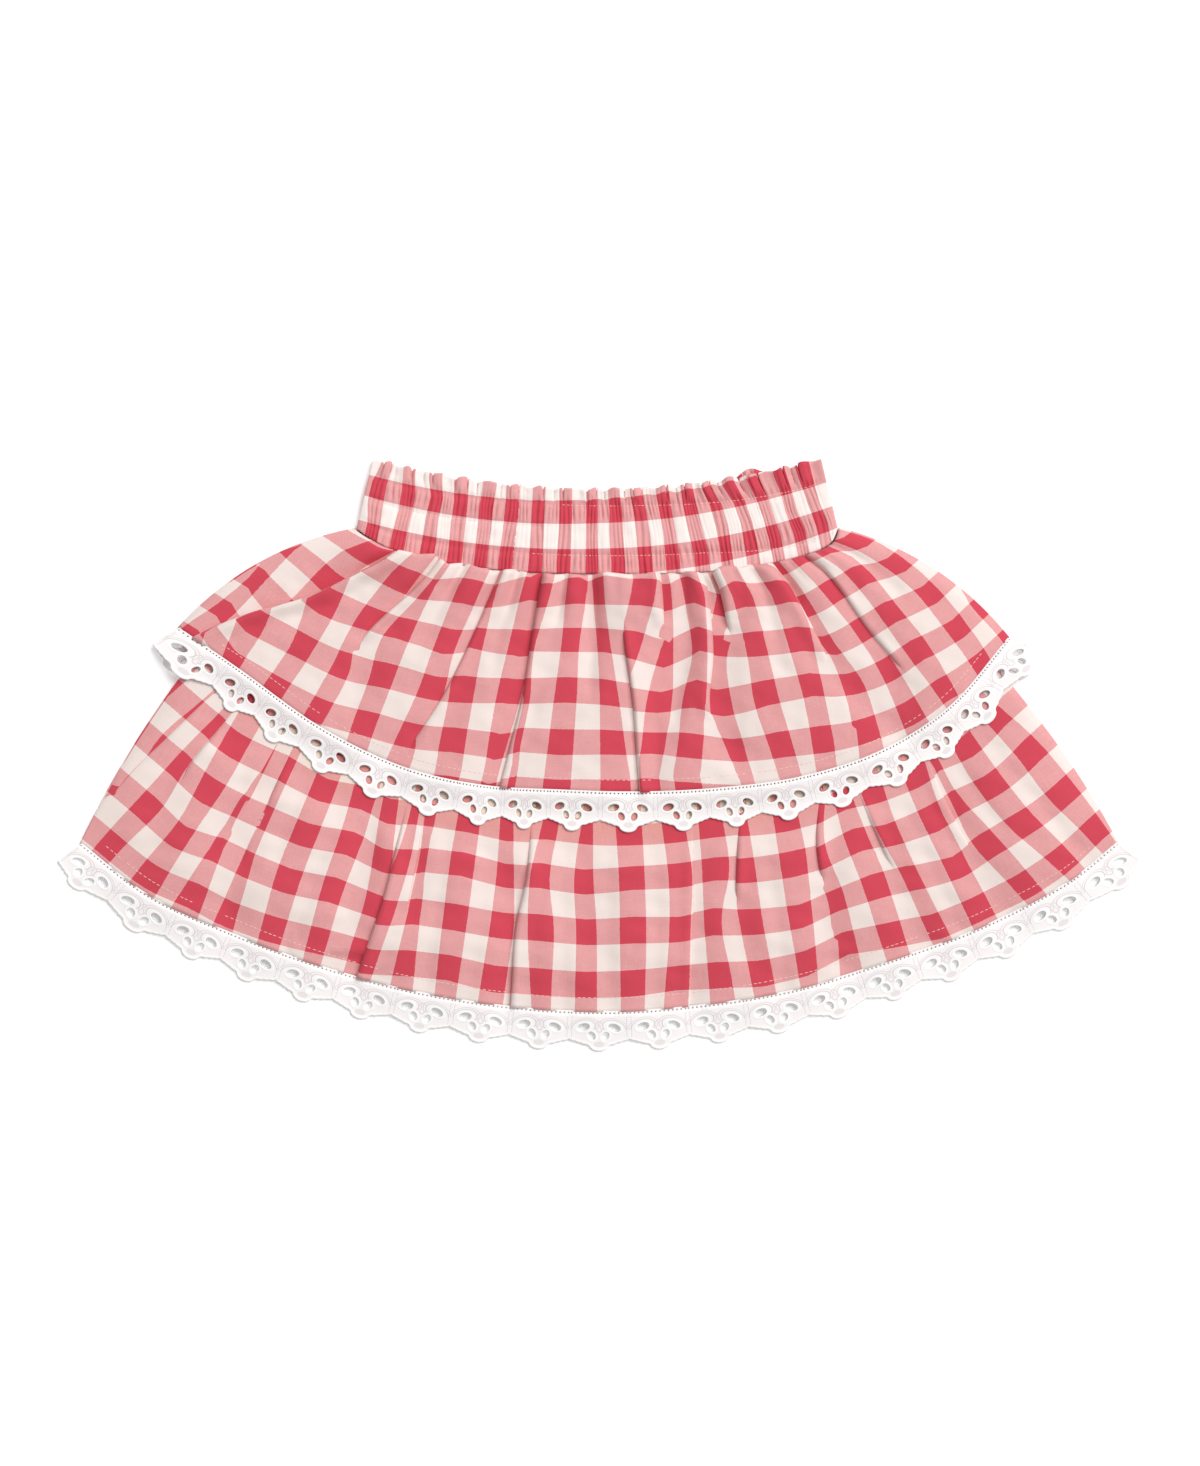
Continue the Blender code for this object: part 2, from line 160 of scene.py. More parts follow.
# where the sides of the red checks lie at the same rows, in thousandths of the width; None where a fold hides a side
SIDES1 = [
    # column  row 7.5      row 5.5       row 3.5       row 1.5
    (-1, (None, None), (3, 22), (12, 33), (2, None)),
    (0, (46, None), (61, None), (None, None), (None, None)),
    (1, (None, None), (None, None), (None, 67), (57, 79)),
    (2, (None, None), (None, 110), (101, 125), (111, 134)),
    (3, (126, 168), (136, None), (153, 175), (164, 186)),
    (4, (189, 206), (181, 218), (201, 230), (215, 240)),
    (5, (245, 283), (255, 285), (264, None), (266, None)),
    (6, (None, 314), (None, 324), (304, 335), (315, 344)),
    (7, (357, None), (361, None), (364, None), (370, 392)),
    (8, (None, 409), (None, 401), (400, 407), (402, 408)),
    (9, (439, 476), (442, 469), (441, 471), (441, 471)),
    (10, (488, 509), (498, 518), (502, 527), (503, 533)),
    (11, (555, 598), (None, 564), (None, None), (None, None)),
    (12, (None, 630), (596, 614), (566, 600), (552, 581)),
    (13, (652, 684), (642, 663), (613, 643), (595, 625)),
    (14, (698, None), (None, 692), (None, 676), (652, 673)),
    (15, (734, 767), (720, 750), (704, 736), (701, 728)),
    (16, (799, None), (781, 815), (766, 792), (749, 773)),
    (17, (None, 855), (829, 845), (817, 843), (800, 825)),
    (18, (880, 903), (876, 890), (867, 886), (852, 877)),
    (19, (925, 953), (912, 936), (903, 928), (899, 918)),
    (20, (970, 996), (963, 986), (953, 977), (948, 970)),
    (21, (None, None), (None, None), (994, None), (992, None)),
]
SIDES2 = [
    # column  row 6.5      row 4.5       row 2.5       row 0.5
    (0, (31, None), (17, None), (None, None), (None, None)),
    (1, (53, 63), (42, 55), (31, 53), (18, 38)),
    (2, (71, 97), (72, 96), (72, 90), (61, 85)),
    (3, (None, None), (116, 121), (110, 120), (103, 124)),
    (4, (140, 150), (141, 149), (141, 150), (144, 156)),
    (5, (176, 203), (176, 202), (176, 201), (181, 203)),
    (6, (220, 249), (223, 248), (223, 244), (226, 244)),
    (7, (254, 272), (261, 281), (267, None), (266, None)),
    (8, (289, 298), (288, 301), (None, 299), (None, 294)),
    (9, (305, 317), (311, 318), (311, 323), (310, 328)),
    (10, (342, 368), (343, 369), (346, 370), (349, 370)),
    (11, (390, 404), (393, 411), (393, 416), (391, None)),
    (13, (438, 456), (429, 449), (430, 456), (436, 456)),
    (14, (482, 494), (475, 495), (478, 498), (478, 498)),
    (15, (520, 550), (522, 549), (521, 547), (520, 543)),
    (16, (572, 598), (574, 599), (570, 591), (562, 584)),
    (17, (614, 641), (610, 639), (605, 622), (602, 623)),
    (18, (None, 669), (None, 666), (639, 662), (640, 661)),
    (19, (699, 726), (693, 722), (688, 713), (685, 704)),
    (20, (None, 766), (None, 744), (729, 746), (726, 743)),
    (21, (770, 789), (765, 789), (766, 791), (765, 788)),
    (22, (800, 828), (800, 822), (806, 822), (808, 825)),
    (23, (852, 882), (848, 871), (848, 870), (848, 871)),
    (24, (885, 893), (884, 892), (882, 904), (895, 915)),
    (25, (912, 936), (911, 937), (918, 943), (936, 956)),
    (26, (954, 975), (960, 986), (964, 992), (977, 997)),
]
# where the middles of the red checks lie (X, Y), by column and row of checks; None where a fold hides one
CHECKS1 = [
    # column  row 7.5           row 5.5           row 3.5           row 1.5         
    (-1, (-131.0, 113.8), (-150.0, 102.2), (-169.5, 87.2), (-187.5, 74.8)),
    (0, (-116.0, 102.8), (-135.5, 89.2), None, None),
    (1, None, None, (-170.5, 66.2), (-182.5, 47.2)),
    (2, None, (-135.5, 77.2), (-148.5, 56.2), (-161.0, 34.8)),
    (3, (-98.5, 88.8), (-115.0, 69.8), (-129.0, 46.8), (-138.5, 23.2)),
    (4, (-82.5, 83.8), (-98.5, 64.8), (-107.0, 41.2), (-116.0, 17.2)),
    (5, (-66.0, 82.8), (-75.0, 57.8), (-82.5, 35.2), (-94.5, 11.2)),
    (6, (-51.0, 80.2), (-60.0, 59.8), (-66.0, 33.8), (-71.0, 8.8)),
    (7, (-35.5, 83.8), (-38.5, 56.2), (-43.5, 33.8), (-48.0, 5.2)),
    (8, (-27.0, 80.2), (-31.5, 58.8), (-35.0, 32.8), (-39.0, 8.8)),
    (9, (-11.0, 82.8), (-13.5, 58.8), (-16.0, 33.8), (-17.5, 7.2)),
    (10, (0.0, 82.2), (4.0, 58.8), (6.5, 32.2), (7.5, 7.8)),
    (11, (20.5, 82.2), (18.0, 56.2), None, None),
    (12, (35.0, 80.2), (35.5, 51.2), (31.5, 27.2), (27.5, 7.8)),
    (13, (47.5, 82.8), (50.0, 58.8), (48.0, 31.2), (46.5, 5.8)),
    (14, (60.0, 76.2), (59.0, 56.2), (61.5, 26.2), (70.0, 3.8)),
    (15, (70.0, 80.2), (76.5, 56.2), (84.0, 32.2), (91.0, 6.2)),
    (16, (92.0, 82.8), (99.0, 58.8), (105.5, 36.2), (112.5, 8.2)),
    (17, (105.5, 76.2), (118.0, 56.2), (127.5, 37.2), (135.0, 13.8)),
    (18, (119.0, 83.8), (132.5, 63.8), (147.5, 45.2), (157.5, 22.8)),
    (19, (135.5, 92.2), (147.5, 72.8), (160.5, 53.8), (174.0, 34.8)),
    (20, (151.5, 97.8), (169.0, 83.8), (181.5, 65.2), (196.5, 50.2)),
]

CHECKS2 = [
    # column  row 6.5           row 4.5           row 2.5           row 0.5         
    (1, (-191.0, 14.8), (-208.5, -3.8), (-224.5, -25.2), (-242.0, -45.2)),
    (2, (-181.0, 6.2), (-194.5, -16.2), (-207.5, -40.2), (-222.5, -59.8)),
    (3, None, (-177.5, -25.2), (-189.5, -46.2), (-202.0, -68.8)),
    (4, (-155.0, -6.2), (-166.0, -30.2), (-174.5, -53.8), (-183.5, -78.8)),
    (5, (-137.0, -16.2), (-145.5, -38.8), (-155.0, -61.2), (-162.5, -85.8)),
    (6, (-117.0, -20.2), (-123.5, -42.8), (-131.0, -66.2), (-140.5, -91.2)),
    (7, (-105.5, -26.2), (-108.0, -51.2), (-112.0, -73.8), (-120.0, -96.2)),
    (8, (-92.5, -27.2), (-97.5, -52.2), (-104.5, -77.8), (-113.0, -102.2)),
    (9, (-83.5, -28.8), (-87.0, -51.2), (-91.5, -77.2), (-95.5, -102.8)),
    (10, (-65.0, -32.2), (-66.5, -52.8), (-70.0, -80.2), (-74.5, -104.8)),
    (11, (-46.0, -36.2), (-45.5, -58.8), (-47.5, -83.8), (-50.0, -111.2)),
    (13, (-23.5, -35.2), (-28.5, -58.8), (-28.0, -84.8), (-29.0, -112.2)),
    (14, (-5.5, -37.2), (-6.5, -62.2), (-5.0, -87.2), (-5.0, -113.8)),
    (15, (16.5, -38.8), (17.5, -59.8), (17.5, -86.2), (17.5, -112.8)),
    (16, (37.5, -37.8), (41.5, -57.8), (42.0, -86.2), (41.0, -109.8)),
    (17, (57.5, -35.2), (58.5, -55.2), (58.5, -82.2), (61.0, -108.8)),
    (18, (74.0, -33.8), (75.5, -56.2), (77.5, -82.2), (81.5, -107.8)),
    (19, (94.5, -32.2), (98.0, -52.8), (102.0, -79.2), (105.5, -102.2)),
    (20, (114.0, -26.2), (114.5, -48.8), (121.0, -71.2), (126.5, -92.2)),
    (21, (124.0, -21.2), (129.0, -41.2), (137.5, -64.8), (146.5, -88.8)),
    (22, (137.5, -17.8), (146.5, -38.8), (157.0, -59.8), (169.0, -84.8)),
    (23, (161.5, -8.8), (170.0, -28.8), (180.5, -54.8), (190.5, -75.2)),
    (24, (169.0, -1.2), (180.5, -22.2), (195.5, -43.8), (211.5, -65.2)),
    (25, (186.5, 6.2), (197.5, -13.8), (213.0, -32.8), (231.5, -52.2)),
    (26, (199.0, 18.8), (215.5, 2.2), (232.5, -18.8), (249.0, -36.2)),
]
# the hidden back: the same kind of folds, further apart, from the wearer's left side to the right one
BACK1 = [
    (+1, (100, 90, 80, 70),         9.9, 2.0, 0.5),
    (-1, (220, 225, 230, 240),      9.9, 3.0, 0.5),
    (+1, (335, 330, 330, 325),      9.9, 2.0, 0.5),
    (-1, (455, 460, 470, 475),      9.9, 3.5, 0.5),
    (+1, (570, 560, 555, 550),      9.9, 2.0, 0.5),
    (-1, (690, 700, 705, 710),      9.9, 3.0, 0.5),
    (+1, (790, 785, 780, 780),      9.9, 2.0, 0.5),
    (-1, (905, 915, 920, 930),      9.9, 2.0, 0.5),
]


# ------------------------------------------------------------------ helpers


def smooth(x, a, b):
    """0 below a, 1 above b, soft between."""
    t = np.clip((np.asarray(x, float) - a) / (b - a), 0.0, 1.0)
    return t * t * (3.0 - 2.0 * t)


def rounded(x, width):
    """Quarter round: 0 at x = 0, 1 from x = width on."""
    t = np.clip(1.0 - np.asarray(x, float) / width, 0.0, 1.0)
    return np.sqrt(1.0 - t * t)


class Curve:
    """Smooth curve through points, read by its share of the length."""

    def __init__(self, points, per=16):
        p = np.array(points, float)
        p = np.vstack([2 * p[0] - p[1], p, 2 * p[-1] - p[-2]])
        t = np.linspace(0, 1, per, endpoint=False)[:, None]
        rows = []
        for i in range(1, len(p) - 2):
            a, b, c, d = p[i - 1:i + 3]
            rows.append(0.5 * (2 * b + (c - a) * t + (2 * a - 5 * b + 4 * c - d) * t ** 2
                               + (3 * b - a - 3 * c + d) * t ** 3))
        self.points = np.vstack(rows + [p[-2][None]])
        steps = np.linalg.norm(np.diff(self.points, axis=0), axis=1)
        self.along = np.concatenate([[0.0], np.cumsum(steps)])
        self.length = self.along[-1]

    def at(self, share):
        s = np.asarray(share, float) * self.length
        return np.stack([np.interp(s, self.along, self.points[:, k]) for k in (0, 1)], -1)


def arc(half, sag, low):
    radius = (half * half + sag * sag) / (2 * sag)
    turn = np.linspace(-1, 1, 97) * math.asin(half / radius)
    return Curve(np.stack([radius * np.sin(turn), low + radius * (1 - np.cos(turn))], 1), 4)


SEAM = Curve(SEAM_LINE, 12)
TOP = arc(BAND_HALF, BAND_SAG, BAND_MID)
EDGE1, EDGE2 = Curve(HEM1, 40), Curve(HEM2, 40)


def ruled(start, end, f, v, bulge):
    """Point between two edges: f across, v from start (0) to end (1); the sides round out by bulge."""
    d = end - start
    n = np.stack([d[..., 1], -d[..., 0]], -1) / np.linalg.norm(d, axis=-1)[..., None]
    n *= np.where(n[..., 0] * np.where(f < 0.5, -1.0, 1.0) > 0, 1.0, -1.0)[..., None]
    w = (1 - smooth(np.minimum(f, 1 - f), 0, 0.16)) * 4 * v * (1 - v) * bulge
    return start + d * v[..., None] + n * w[..., None]


def tier1_plan(f, v):
    return ruled(SEAM.at(f), EDGE1.at(f), f, v, TIER1_BULGE)


def yoke_plan(f, v):
    return tier1_plan(YOKE_IN + (1 - 2 * YOKE_IN) * f, v * YOKE_END)


def tier2_plan(f, v):
    return ruled(yoke_plan(f, np.ones_like(f)), EDGE2.at(f), f, v, TIER2_BULGE)


def band_plan(f, v):
    a, b = SEAM.at(f), TOP.at(f)
    return a + (b - a) * v[..., None]


def side(f, width):
    return rounded(np.minimum(f, 1 - f), width)


def puff(f, v, length, creases, height):
    """Cloth standing up by height between soft creases."""
    z = np.full_like(f, height)
    for c0, c1, c2, c3, c4, half, deep, start, stop in creases:
        centre = np.interp(v, [0, 0.25, 0.5, 0.75, 1.0], [c0, c1, c2, c3, c4])
        d = (f - centre) * length / half
        z = z - deep * np.exp(-d * d) * smooth(v, start, start + 0.15) * (1 - smooth(v, stop - 0.2, stop))
    return np.maximum(z, 0.0)


def z_tier1_front(f, v):
    length = SEAM.length + (EDGE1.length - SEAM.length) * v
    low = WALL + GAP
    inner = smooth(np.minimum(f, 1 - f), 0.02, 0.10)
    return low + (Z_TIER1_FRONT - low) * side(f, 0.07) + puff(f, v, length, CREASES1, PUFF1) * inner


def z_tier2_back(f, v):
    return Z_YOKE_BACK * (1 - smooth(v, 0.27, 0.40))


def z_tier2_front(f, v):
    low = z_tier2_back(f, v) + WALL + GAP
    high = Z_YOKE_FRONT + (1.9 - Z_YOKE_FRONT) * smooth(v, 0.74, 1.0)
    length = EDGE1.length + (EDGE2.length - EDGE1.length) * v
    inner = smooth(np.minimum(f, 1 - f), 0.0, 0.08) * smooth(v, 0.27, 0.42)
    return low + (high - low) * side(f, 0.045) + puff(f, v, length, CREASES2, PUFF2) * inner


def z_band_front(f, v):
    low = BAND_WALL + GAP
    return low + (Z_YOKE_FRONT + 0.2 - low) * (1 - smooth(v, 0.0, 0.85)) * side(f, 0.07)


def waves(x, y, sizes, seed):
    """Soft uneven surface of height about 1: many crossing waves with the given lengths in mm."""
    rng = np.random.default_rng(seed)
    z = np.zeros_like(x)
    for size in sizes:
        for _ in range(4):
            a, p = rng.uniform(0, math.pi), rng.uniform(0, 2 * math.pi)
            k = 2 * math.pi / (size * rng.uniform(0.8, 1.25))
            z += np.sin(k * (x * math.cos(a) + y * math.sin(a)) + p) / (4 * len(sizes)) ** 0.5
    return z


def through(places, values, at):
    """Smooth line through a few values, going on straight past its ends."""
    x, y = np.array(places, float), np.array(values, float)
    order = np.argsort(x)
    x, y = x[order], y[order]
    slope = np.gradient(y, x)
    at = np.asarray(at, float)
    i = np.clip(np.searchsorted(x, at) - 1, 0, len(x) - 2)
    h = x[i + 1] - x[i]
    t = (at - x[i]) / h
    tc = np.clip(t, 0, 1)
    inside = ((2 * tc ** 3 - 3 * tc ** 2 + 1) * y[i] + (tc ** 3 - 2 * tc ** 2 + tc) * h * slope[i]
              + (-2 * tc ** 3 + 3 * tc ** 2) * y[i + 1] + (tc ** 3 - tc ** 2) * h * slope[i + 1])
    return inside + np.where(t < 0, (at - x[0]) * slope[0], 0) + np.where(t > 1, (at - x[-1]) * slope[-1], 0)


# -------------------------------------------------------------- laying cloth

NOSE = 1.1                         # width of a fold's rounded edge
# a fold from its upper layer on: share of its cloth, how far round the edge, how far back under it, height left
FOLD_PATH = [(0.0, 0.0, 0.0, 1.0), (0.08, 0.45, 0.0, 0.90), (0.16, 0.85, 0.0, 0.55), (0.24, 1.0, 0.0, 0.20),
             (0.40, 1.0, -0.5, 0.12), (0.58, 1.0, -1.0, 0.08), (0.78, 1.0, -0.5, 0.03), (0.93, 1.0, -0.1, 0.0)]


class Laid:
    """Rows of cloth laid with folds: f across the row, u the cloth's own width in checks, rise above the lowest layer."""

    def __init__(self, plan, folds, rows, hem_row, pitch, sides, vs, step, face=1):
        vs = np.asarray(vs, float)
        share = np.linspace(0, 1, 601)
        self.plan, self.vs, self.rows, self.hem_row, self.pitch = plan, vs, rows, hem_row, pitch
        along = []
        for v in vs:
            p = plan(share, np.full_like(share, v))
            along.append(np.concatenate([[0], np.cumsum(np.linalg.norm(np.diff(p, axis=0), axis=1))]))
        along = np.array(along)
        self.width = width = along[:, -1]
        n, m = len(folds), len(vs)

        # where each fold runs, and how strongly the cloth doubles there
        F, live = np.zeros((n, m)), np.zeros((n, m))
        for k, (way, at, first, last, lift) in enumerate(folds):
            at = np.array(at) / 1000
            for _ in range(4):
                level = self.row_of(F[k], vs, hem_row, pitch)
                F[k] = through(rows[::-1], at[::-1], np.clip(level, rows[-1] - 1.6, rows[0] + 1.0))
            level = self.row_of(F[k], vs, hem_row, pitch)
            live[k] = (1 - smooth(level, first - 0.9, first)) * smooth(level, last, last + 0.9)
        S = np.array([[np.interp(F[k, j], share, along[j]) for j in range(m)] for k in range(n)])
        for k in range(1, n):
            S[k] = np.maximum(S[k], S[k - 1] + 3.4)
        S = np.minimum(S, width[None] - 2.0 - 3.4 * np.arange(n)[::-1, None])
        S = np.maximum(S, 2.0 + 3.4 * np.arange(n)[:, None])
        F = np.array([[np.interp(S[k, j], along[j], share) for j in range(m)] for k in range(n)])
        self.S, self.live = S, live

        # the cloth's own map along each row, panel by panel between the folds
        real = [k for k in range(n) if folds[k][0]]
        table = self.sides_by_panel(sides, [folds[k][1] for k in real], rows)
        knots = []
        for p, marks in enumerate(table):
            low = F[real[p - 1]] if p else np.zeros(m)
            high = F[real[p]] if p < len(real) else np.ones(m)
            here = []
            for u, places in marks:
                at = np.full(m, places.mean())
                for _ in range(2):
                    level = self.row_of(at, vs, hem_row, pitch)
                    at = through(rows[::-1], places[::-1], np.clip(level, rows[-1] - 1.2, rows[0] + 0.7))
                here.append((u, at))
            knots.append((low, high, here))

        def cloth_map(j, at, panel):
            """Checks along row j at the places at, seen from the given panel; a fading fold lets the next panel in."""
            def walk(p, way):
                p += way
                while 0 < p < len(knots) - 1 and live[real[p - 1 if way < 0 else p], j] < 0.5:
                    p += way
                return min(max(p, 0), len(knots) - 1)

            before = live[real[panel - 1], j] if panel > 0 else 1.0
            after = live[real[panel], j] if panel < len(real) else 1.0
            out = 0.0
            for a, wa in ((panel, before), (walk(panel, -1), 1 - before)):
                for b, wb in ((panel, after), (walk(panel, 1), 1 - after)):
                    if wa * wb > 0.001:
                        out = out + wa * wb * straight_map(j, at, a, b)
            return out

        def straight_map(j, at, a, b):
            marks = []
            for q in range(a, b + 1):
                low, high, here = knots[q]
                for u, f in here:
                    if (q > a and f[j] < low[j] - 0.002) or (q < b and f[j] > high[j] + 0.002):
                        continue
                    marks.append((u, f[j]))
            marks.sort()
            gap = 1.6 / width[j]
            us, fs = [marks[0][0]], [marks[0][1]]
            for u, f in marks[1:]:
                if u - us[-1] < 0.5:
                    continue
                us.append(u)
                fs.append(max(f, fs[-1] + gap))
            us, fs = np.array(us), np.array(fs)
            rate = width[j] / CHECK
            out = np.interp(at, fs, us)
            out = np.where(at < fs[0], us[0] + (at - fs[0]) * rate, out)
            return np.where(at > fs[-1], us[-1] + (at - fs[-1]) * rate, out)

        # columns of points: panels, and the cloth inside each fold
        blocks_s, blocks_u, owner = [], [], []
        start = np.zeros(m)
        D = np.zeros((n, m))
        rate = width / CHECK
        panel = 0
        for k in range(n + 1):
            way = folds[k][0] if k < n else 0
            stop = S[k] - (NOSE if way > 0 else 0) if k < n else width
            count = max(2, int(round(np.mean(stop - start) / step)))
            t = np.linspace(0, 1, count + 1)[None, :] if k == n else np.linspace(0, 1, count, endpoint=False)[None, :]
            s = start[:, None] + (stop - start)[:, None] * t
            f = np.array([np.interp(s[j], along[j], share) for j in range(m)])
            blocks_s.append(s)
            blocks_u.append(np.array([cloth_map(j, f[j], panel) for j in range(m)]))
            owner += [(-1, 0.0)] * s.shape[1]
            start = stop
            if not way:
                continue
            left = np.array([cloth_map(j, np.interp(stop[j:j + 1], along[j], share), panel)[0] for j in range(m)])
            beyond = stop + NOSE
            right = np.array([cloth_map(j, np.interp(beyond[j:j + 1], along[j], share), panel + 1)[0] for j in range(m)])
            D[k] = np.maximum((right - left) * CHECK - NOSE, 0.0) * live[k]
            inward = np.minimum(D[k][:, None] / 2, DEEP / 2)
            path = np.array(FOLD_PATH + [(1.0, 1.0, 0.0, 0.0)])
            whole = np.clip(D[k] / 3, 0, 1)[:, None]
            out = path[:, 0] + (path[:, 1] - path[:, 0]) * whole
            if way < 0:
                q = 1 - path[::-1, 0][:-1]
                s = (stop + NOSE)[:, None] - NOSE * out[:, ::-1][:, :-1] - inward * path[::-1, 2][None, :-1]
                owner += [(k, x) for x in path[::-1, 3][:-1]]
            else:
                q = path[:-1, 0]
                s = stop[:, None] + NOSE * out[:, :-1] + inward * path[None, :-1, 2]
                owner += [(k, x) for x in path[:-1, 3]]
            blocks_s.append(s)
            blocks_u.append(left[:, None] + (right - left)[:, None] * q[None, :])
            start = stop + NOSE
            panel += 1
        self.D = D
        self.s, self.u = np.hstack(blocks_s), np.hstack(blocks_u)
        self.m = self.u * CHECK
        cols = self.s.shape[1]
        index = np.array([o[0] for o in owner])
        q = np.array([o[1] for o in owner])
        rise, valley = np.zeros_like(self.s), np.zeros_like(self.s)
        self.strength = np.clip(D / 6, 0, 1)
        for k, (way, at, first, last, lift) in enumerate(folds):
            d = D[k][:, None]
            if way == 0:
                away = np.abs(self.s - S[k][:, None])
                self.strength[k] = np.clip(0.7 * lift * live[k], 0, 1)
                valley += lift * live[k][:, None] * np.exp(-(away / 4.5) ** 2)
                continue
            mine = np.where(index == k)[0]
            before, after, own = np.arange(cols) < mine[0], np.arange(cols) > mine[-1], index == k
            away = np.where(own, 0.0, np.abs(self.s - S[k][:, None]))
            strong = d / (d + 4.0)
            lower = after if way * face > 0 else before
            upper = before if way * face > 0 else after
            valley += strong * np.where(lower | own, np.exp(-away / 5.0), 0.0)
            high = lift * strong * (LIFT if face > 0 else 1.0)
            reach = np.maximum(0.8 * np.minimum(d, DEEP), 8.0)
            part = 1 - smooth(away / reach, 0, 1)
            shape = q[None, :] if face > 0 else 1 - q[None, :]
            rise += high * np.where(own, shape, np.where(upper, part, 0.0))
        self.valley, self.rise = valley, rise
        self.f = np.array([np.interp(self.s[j], along[j], share) for j in range(m)])
        self.v = np.repeat(vs[:, None], cols, 1)
        self.xy = plan(self.f, self.v)
        self.r = self.row_of(self.f, self.v, hem_row, pitch)
        self.panel = np.where(index < 0, np.cumsum(np.concatenate([[0], np.diff(index) != 0])), -1)

    def sides_by_panel(self, sides, folds, rows):
        """Places of the checks' sides in each panel; a side a fold hides lies on where the flat cloth would bring it."""
        count = len(folds) + 1
        known = [dict() for _ in range(count)]
        lengths = []
        for row in rows:
            p = self.plan(np.linspace(0, 1, 200), np.full(200, np.clip((self.top_row() - row) / self.top_row(), 0, 1)))
            lengths.append(np.linalg.norm(np.diff(p, axis=0), axis=1).sum())
        if sides is None:
            return self.plain_panels(folds, lengths)
        for column, *spots in sides:
            for j, pair in enumerate(spots):
                for shift, place in zip((-0.5, 0.5), pair):
                    if place is None:
                        continue
                    p = sum(place > at[j] for at in folds)
                    known[p].setdefault(2 * column + shift, {})[j] = place / 1000
        table = []
        for marks in known:
            filled = []
            for u in sorted(marks):
                places = []
                for j in range(len(rows)):
                    if j in marks[u]:
                        places.append(marks[u][j])
                        continue
                    near = [w for w in marks if j in marks[w]]
                    if near:
                        w = min(near, key=lambda w: abs(w - u))
                        places.append(marks[w][j] + (u - w) * CHECK / lengths[j])
                    else:
                        places.append(np.nan)
                places = np.array(places)
                good = ~np.isnan(places)
                places[~good] = np.interp(np.where(~good)[0], np.where(good)[0], places[good])
                filled.append((u, places))
            table.append(filled)
        return table

    def plain_panels(self, folds, lengths):
        """The same table for cloth that is not charted: flat between the folds, a check more than the hem needs in each."""
        bounds = np.array([[0] * len(lengths)] + [list(at) for at in folds] + [[1000] * len(lengths)]) / 1000
        middle = (bounds[1:] + bounds[:-1]) / 2
        table = []
        for p, at in enumerate(middle):
            u0 = at[-1] * lengths[-1] / CHECK + 1.0 * p
            half = (bounds[p + 1, -1] - bounds[p, -1]) * lengths[-1] / CHECK / 2 + 1
            marks = np.arange(math.floor(u0 - half), math.ceil(u0 + half)) + 0.5
            table.append([(u, at + (u - u0) * CHECK / np.array(lengths)) for u in marks])
        return table

    def top_row(self):
        mid = np.array([0.5])
        return float(self.row_of(mid, np.array([0.0]), self.hem_row, self.pitch)[0])

    def settle(self, chart, rows, turns=3):
        """Moves the rows of checks on the cloth a little, so that the charted ones come out where they lie."""
        panel = np.repeat(self.panel[None, :], len(self.vs), 0)
        seen = panel >= 0
        xy, panel = self.xy[seen], panel[seen]
        for _ in range(turns):
            u, r = self.u[seen], self.r[seen]
            off = np.full((len(chart), len(rows), 2), np.nan)
            for i, (column, *spots) in enumerate(chart):
                for j, spot in enumerate(spots):
                    if spot is None:
                        continue
                    d = np.hypot(xy[:, 0] - spot[0], xy[:, 1] - spot[1])
                    near = np.argsort(d)[:24]
                    near = near[panel[near] == panel[near[0]]][:5]
                    w = 1 / (d[near] + 0.1) ** 2
                    off[i, j] = (2 * column - (u[near] * w).sum() / w.sum(), rows[j] - (r[near] * w).sum() / w.sum())
            for j in range(len(rows)):
                for k in range(2):
                    good = ~np.isnan(off[:, j, k])
                    off[:, j, k] = np.interp(np.arange(len(chart)), np.arange(len(chart))[good], off[good, j, k])
            at = np.array([c[0] for c in chart], float)
            where = np.clip(self.u / 2, at[0], at[-1])
            level = np.clip((rows[0] - self.r) / (rows[0] - rows[1]), 0, len(rows) - 1)
            i = np.clip(np.searchsorted(at, where) - 1, 0, len(at) - 2)
            a = (where - at[i]) / (at[i + 1] - at[i])
            j = np.clip(level.astype(int), 0, len(rows) - 2)
            b = level - j
            for o, target in ((off[..., 1], self.r),):
                target += (o[i, j] * (1 - a) * (1 - b) + o[i + 1, j] * a * (1 - b) + o[i, j + 1] * (1 - a) * b
                           + o[i + 1, j + 1] * a * b)

    def row_of(self, f, v, hem_row, pitch):
        hem = np.interp(f, *zip(*hem_row))
        a, b = self.plan(f, np.zeros_like(f)), self.plan(f, np.ones_like(f))
        return hem + (1 - v) * np.linalg.norm(b - a, axis=-1) / pitch

    def near_fold(self, reach):
        """1 at a fold's edge, 0 away from it."""
        w = np.zeros_like(self.s)
        for k in range(len(self.S)):
            w = np.maximum(w, np.exp(-((self.s - self.S[k][:, None]) / reach) ** 2) * self.strength[k][:, None])
        return w


def place(xy, z):
    return np.concatenate([(xy - [CENTRE_X, CENTRE_Y]) / 1000, z[..., None] / 1000], -1)


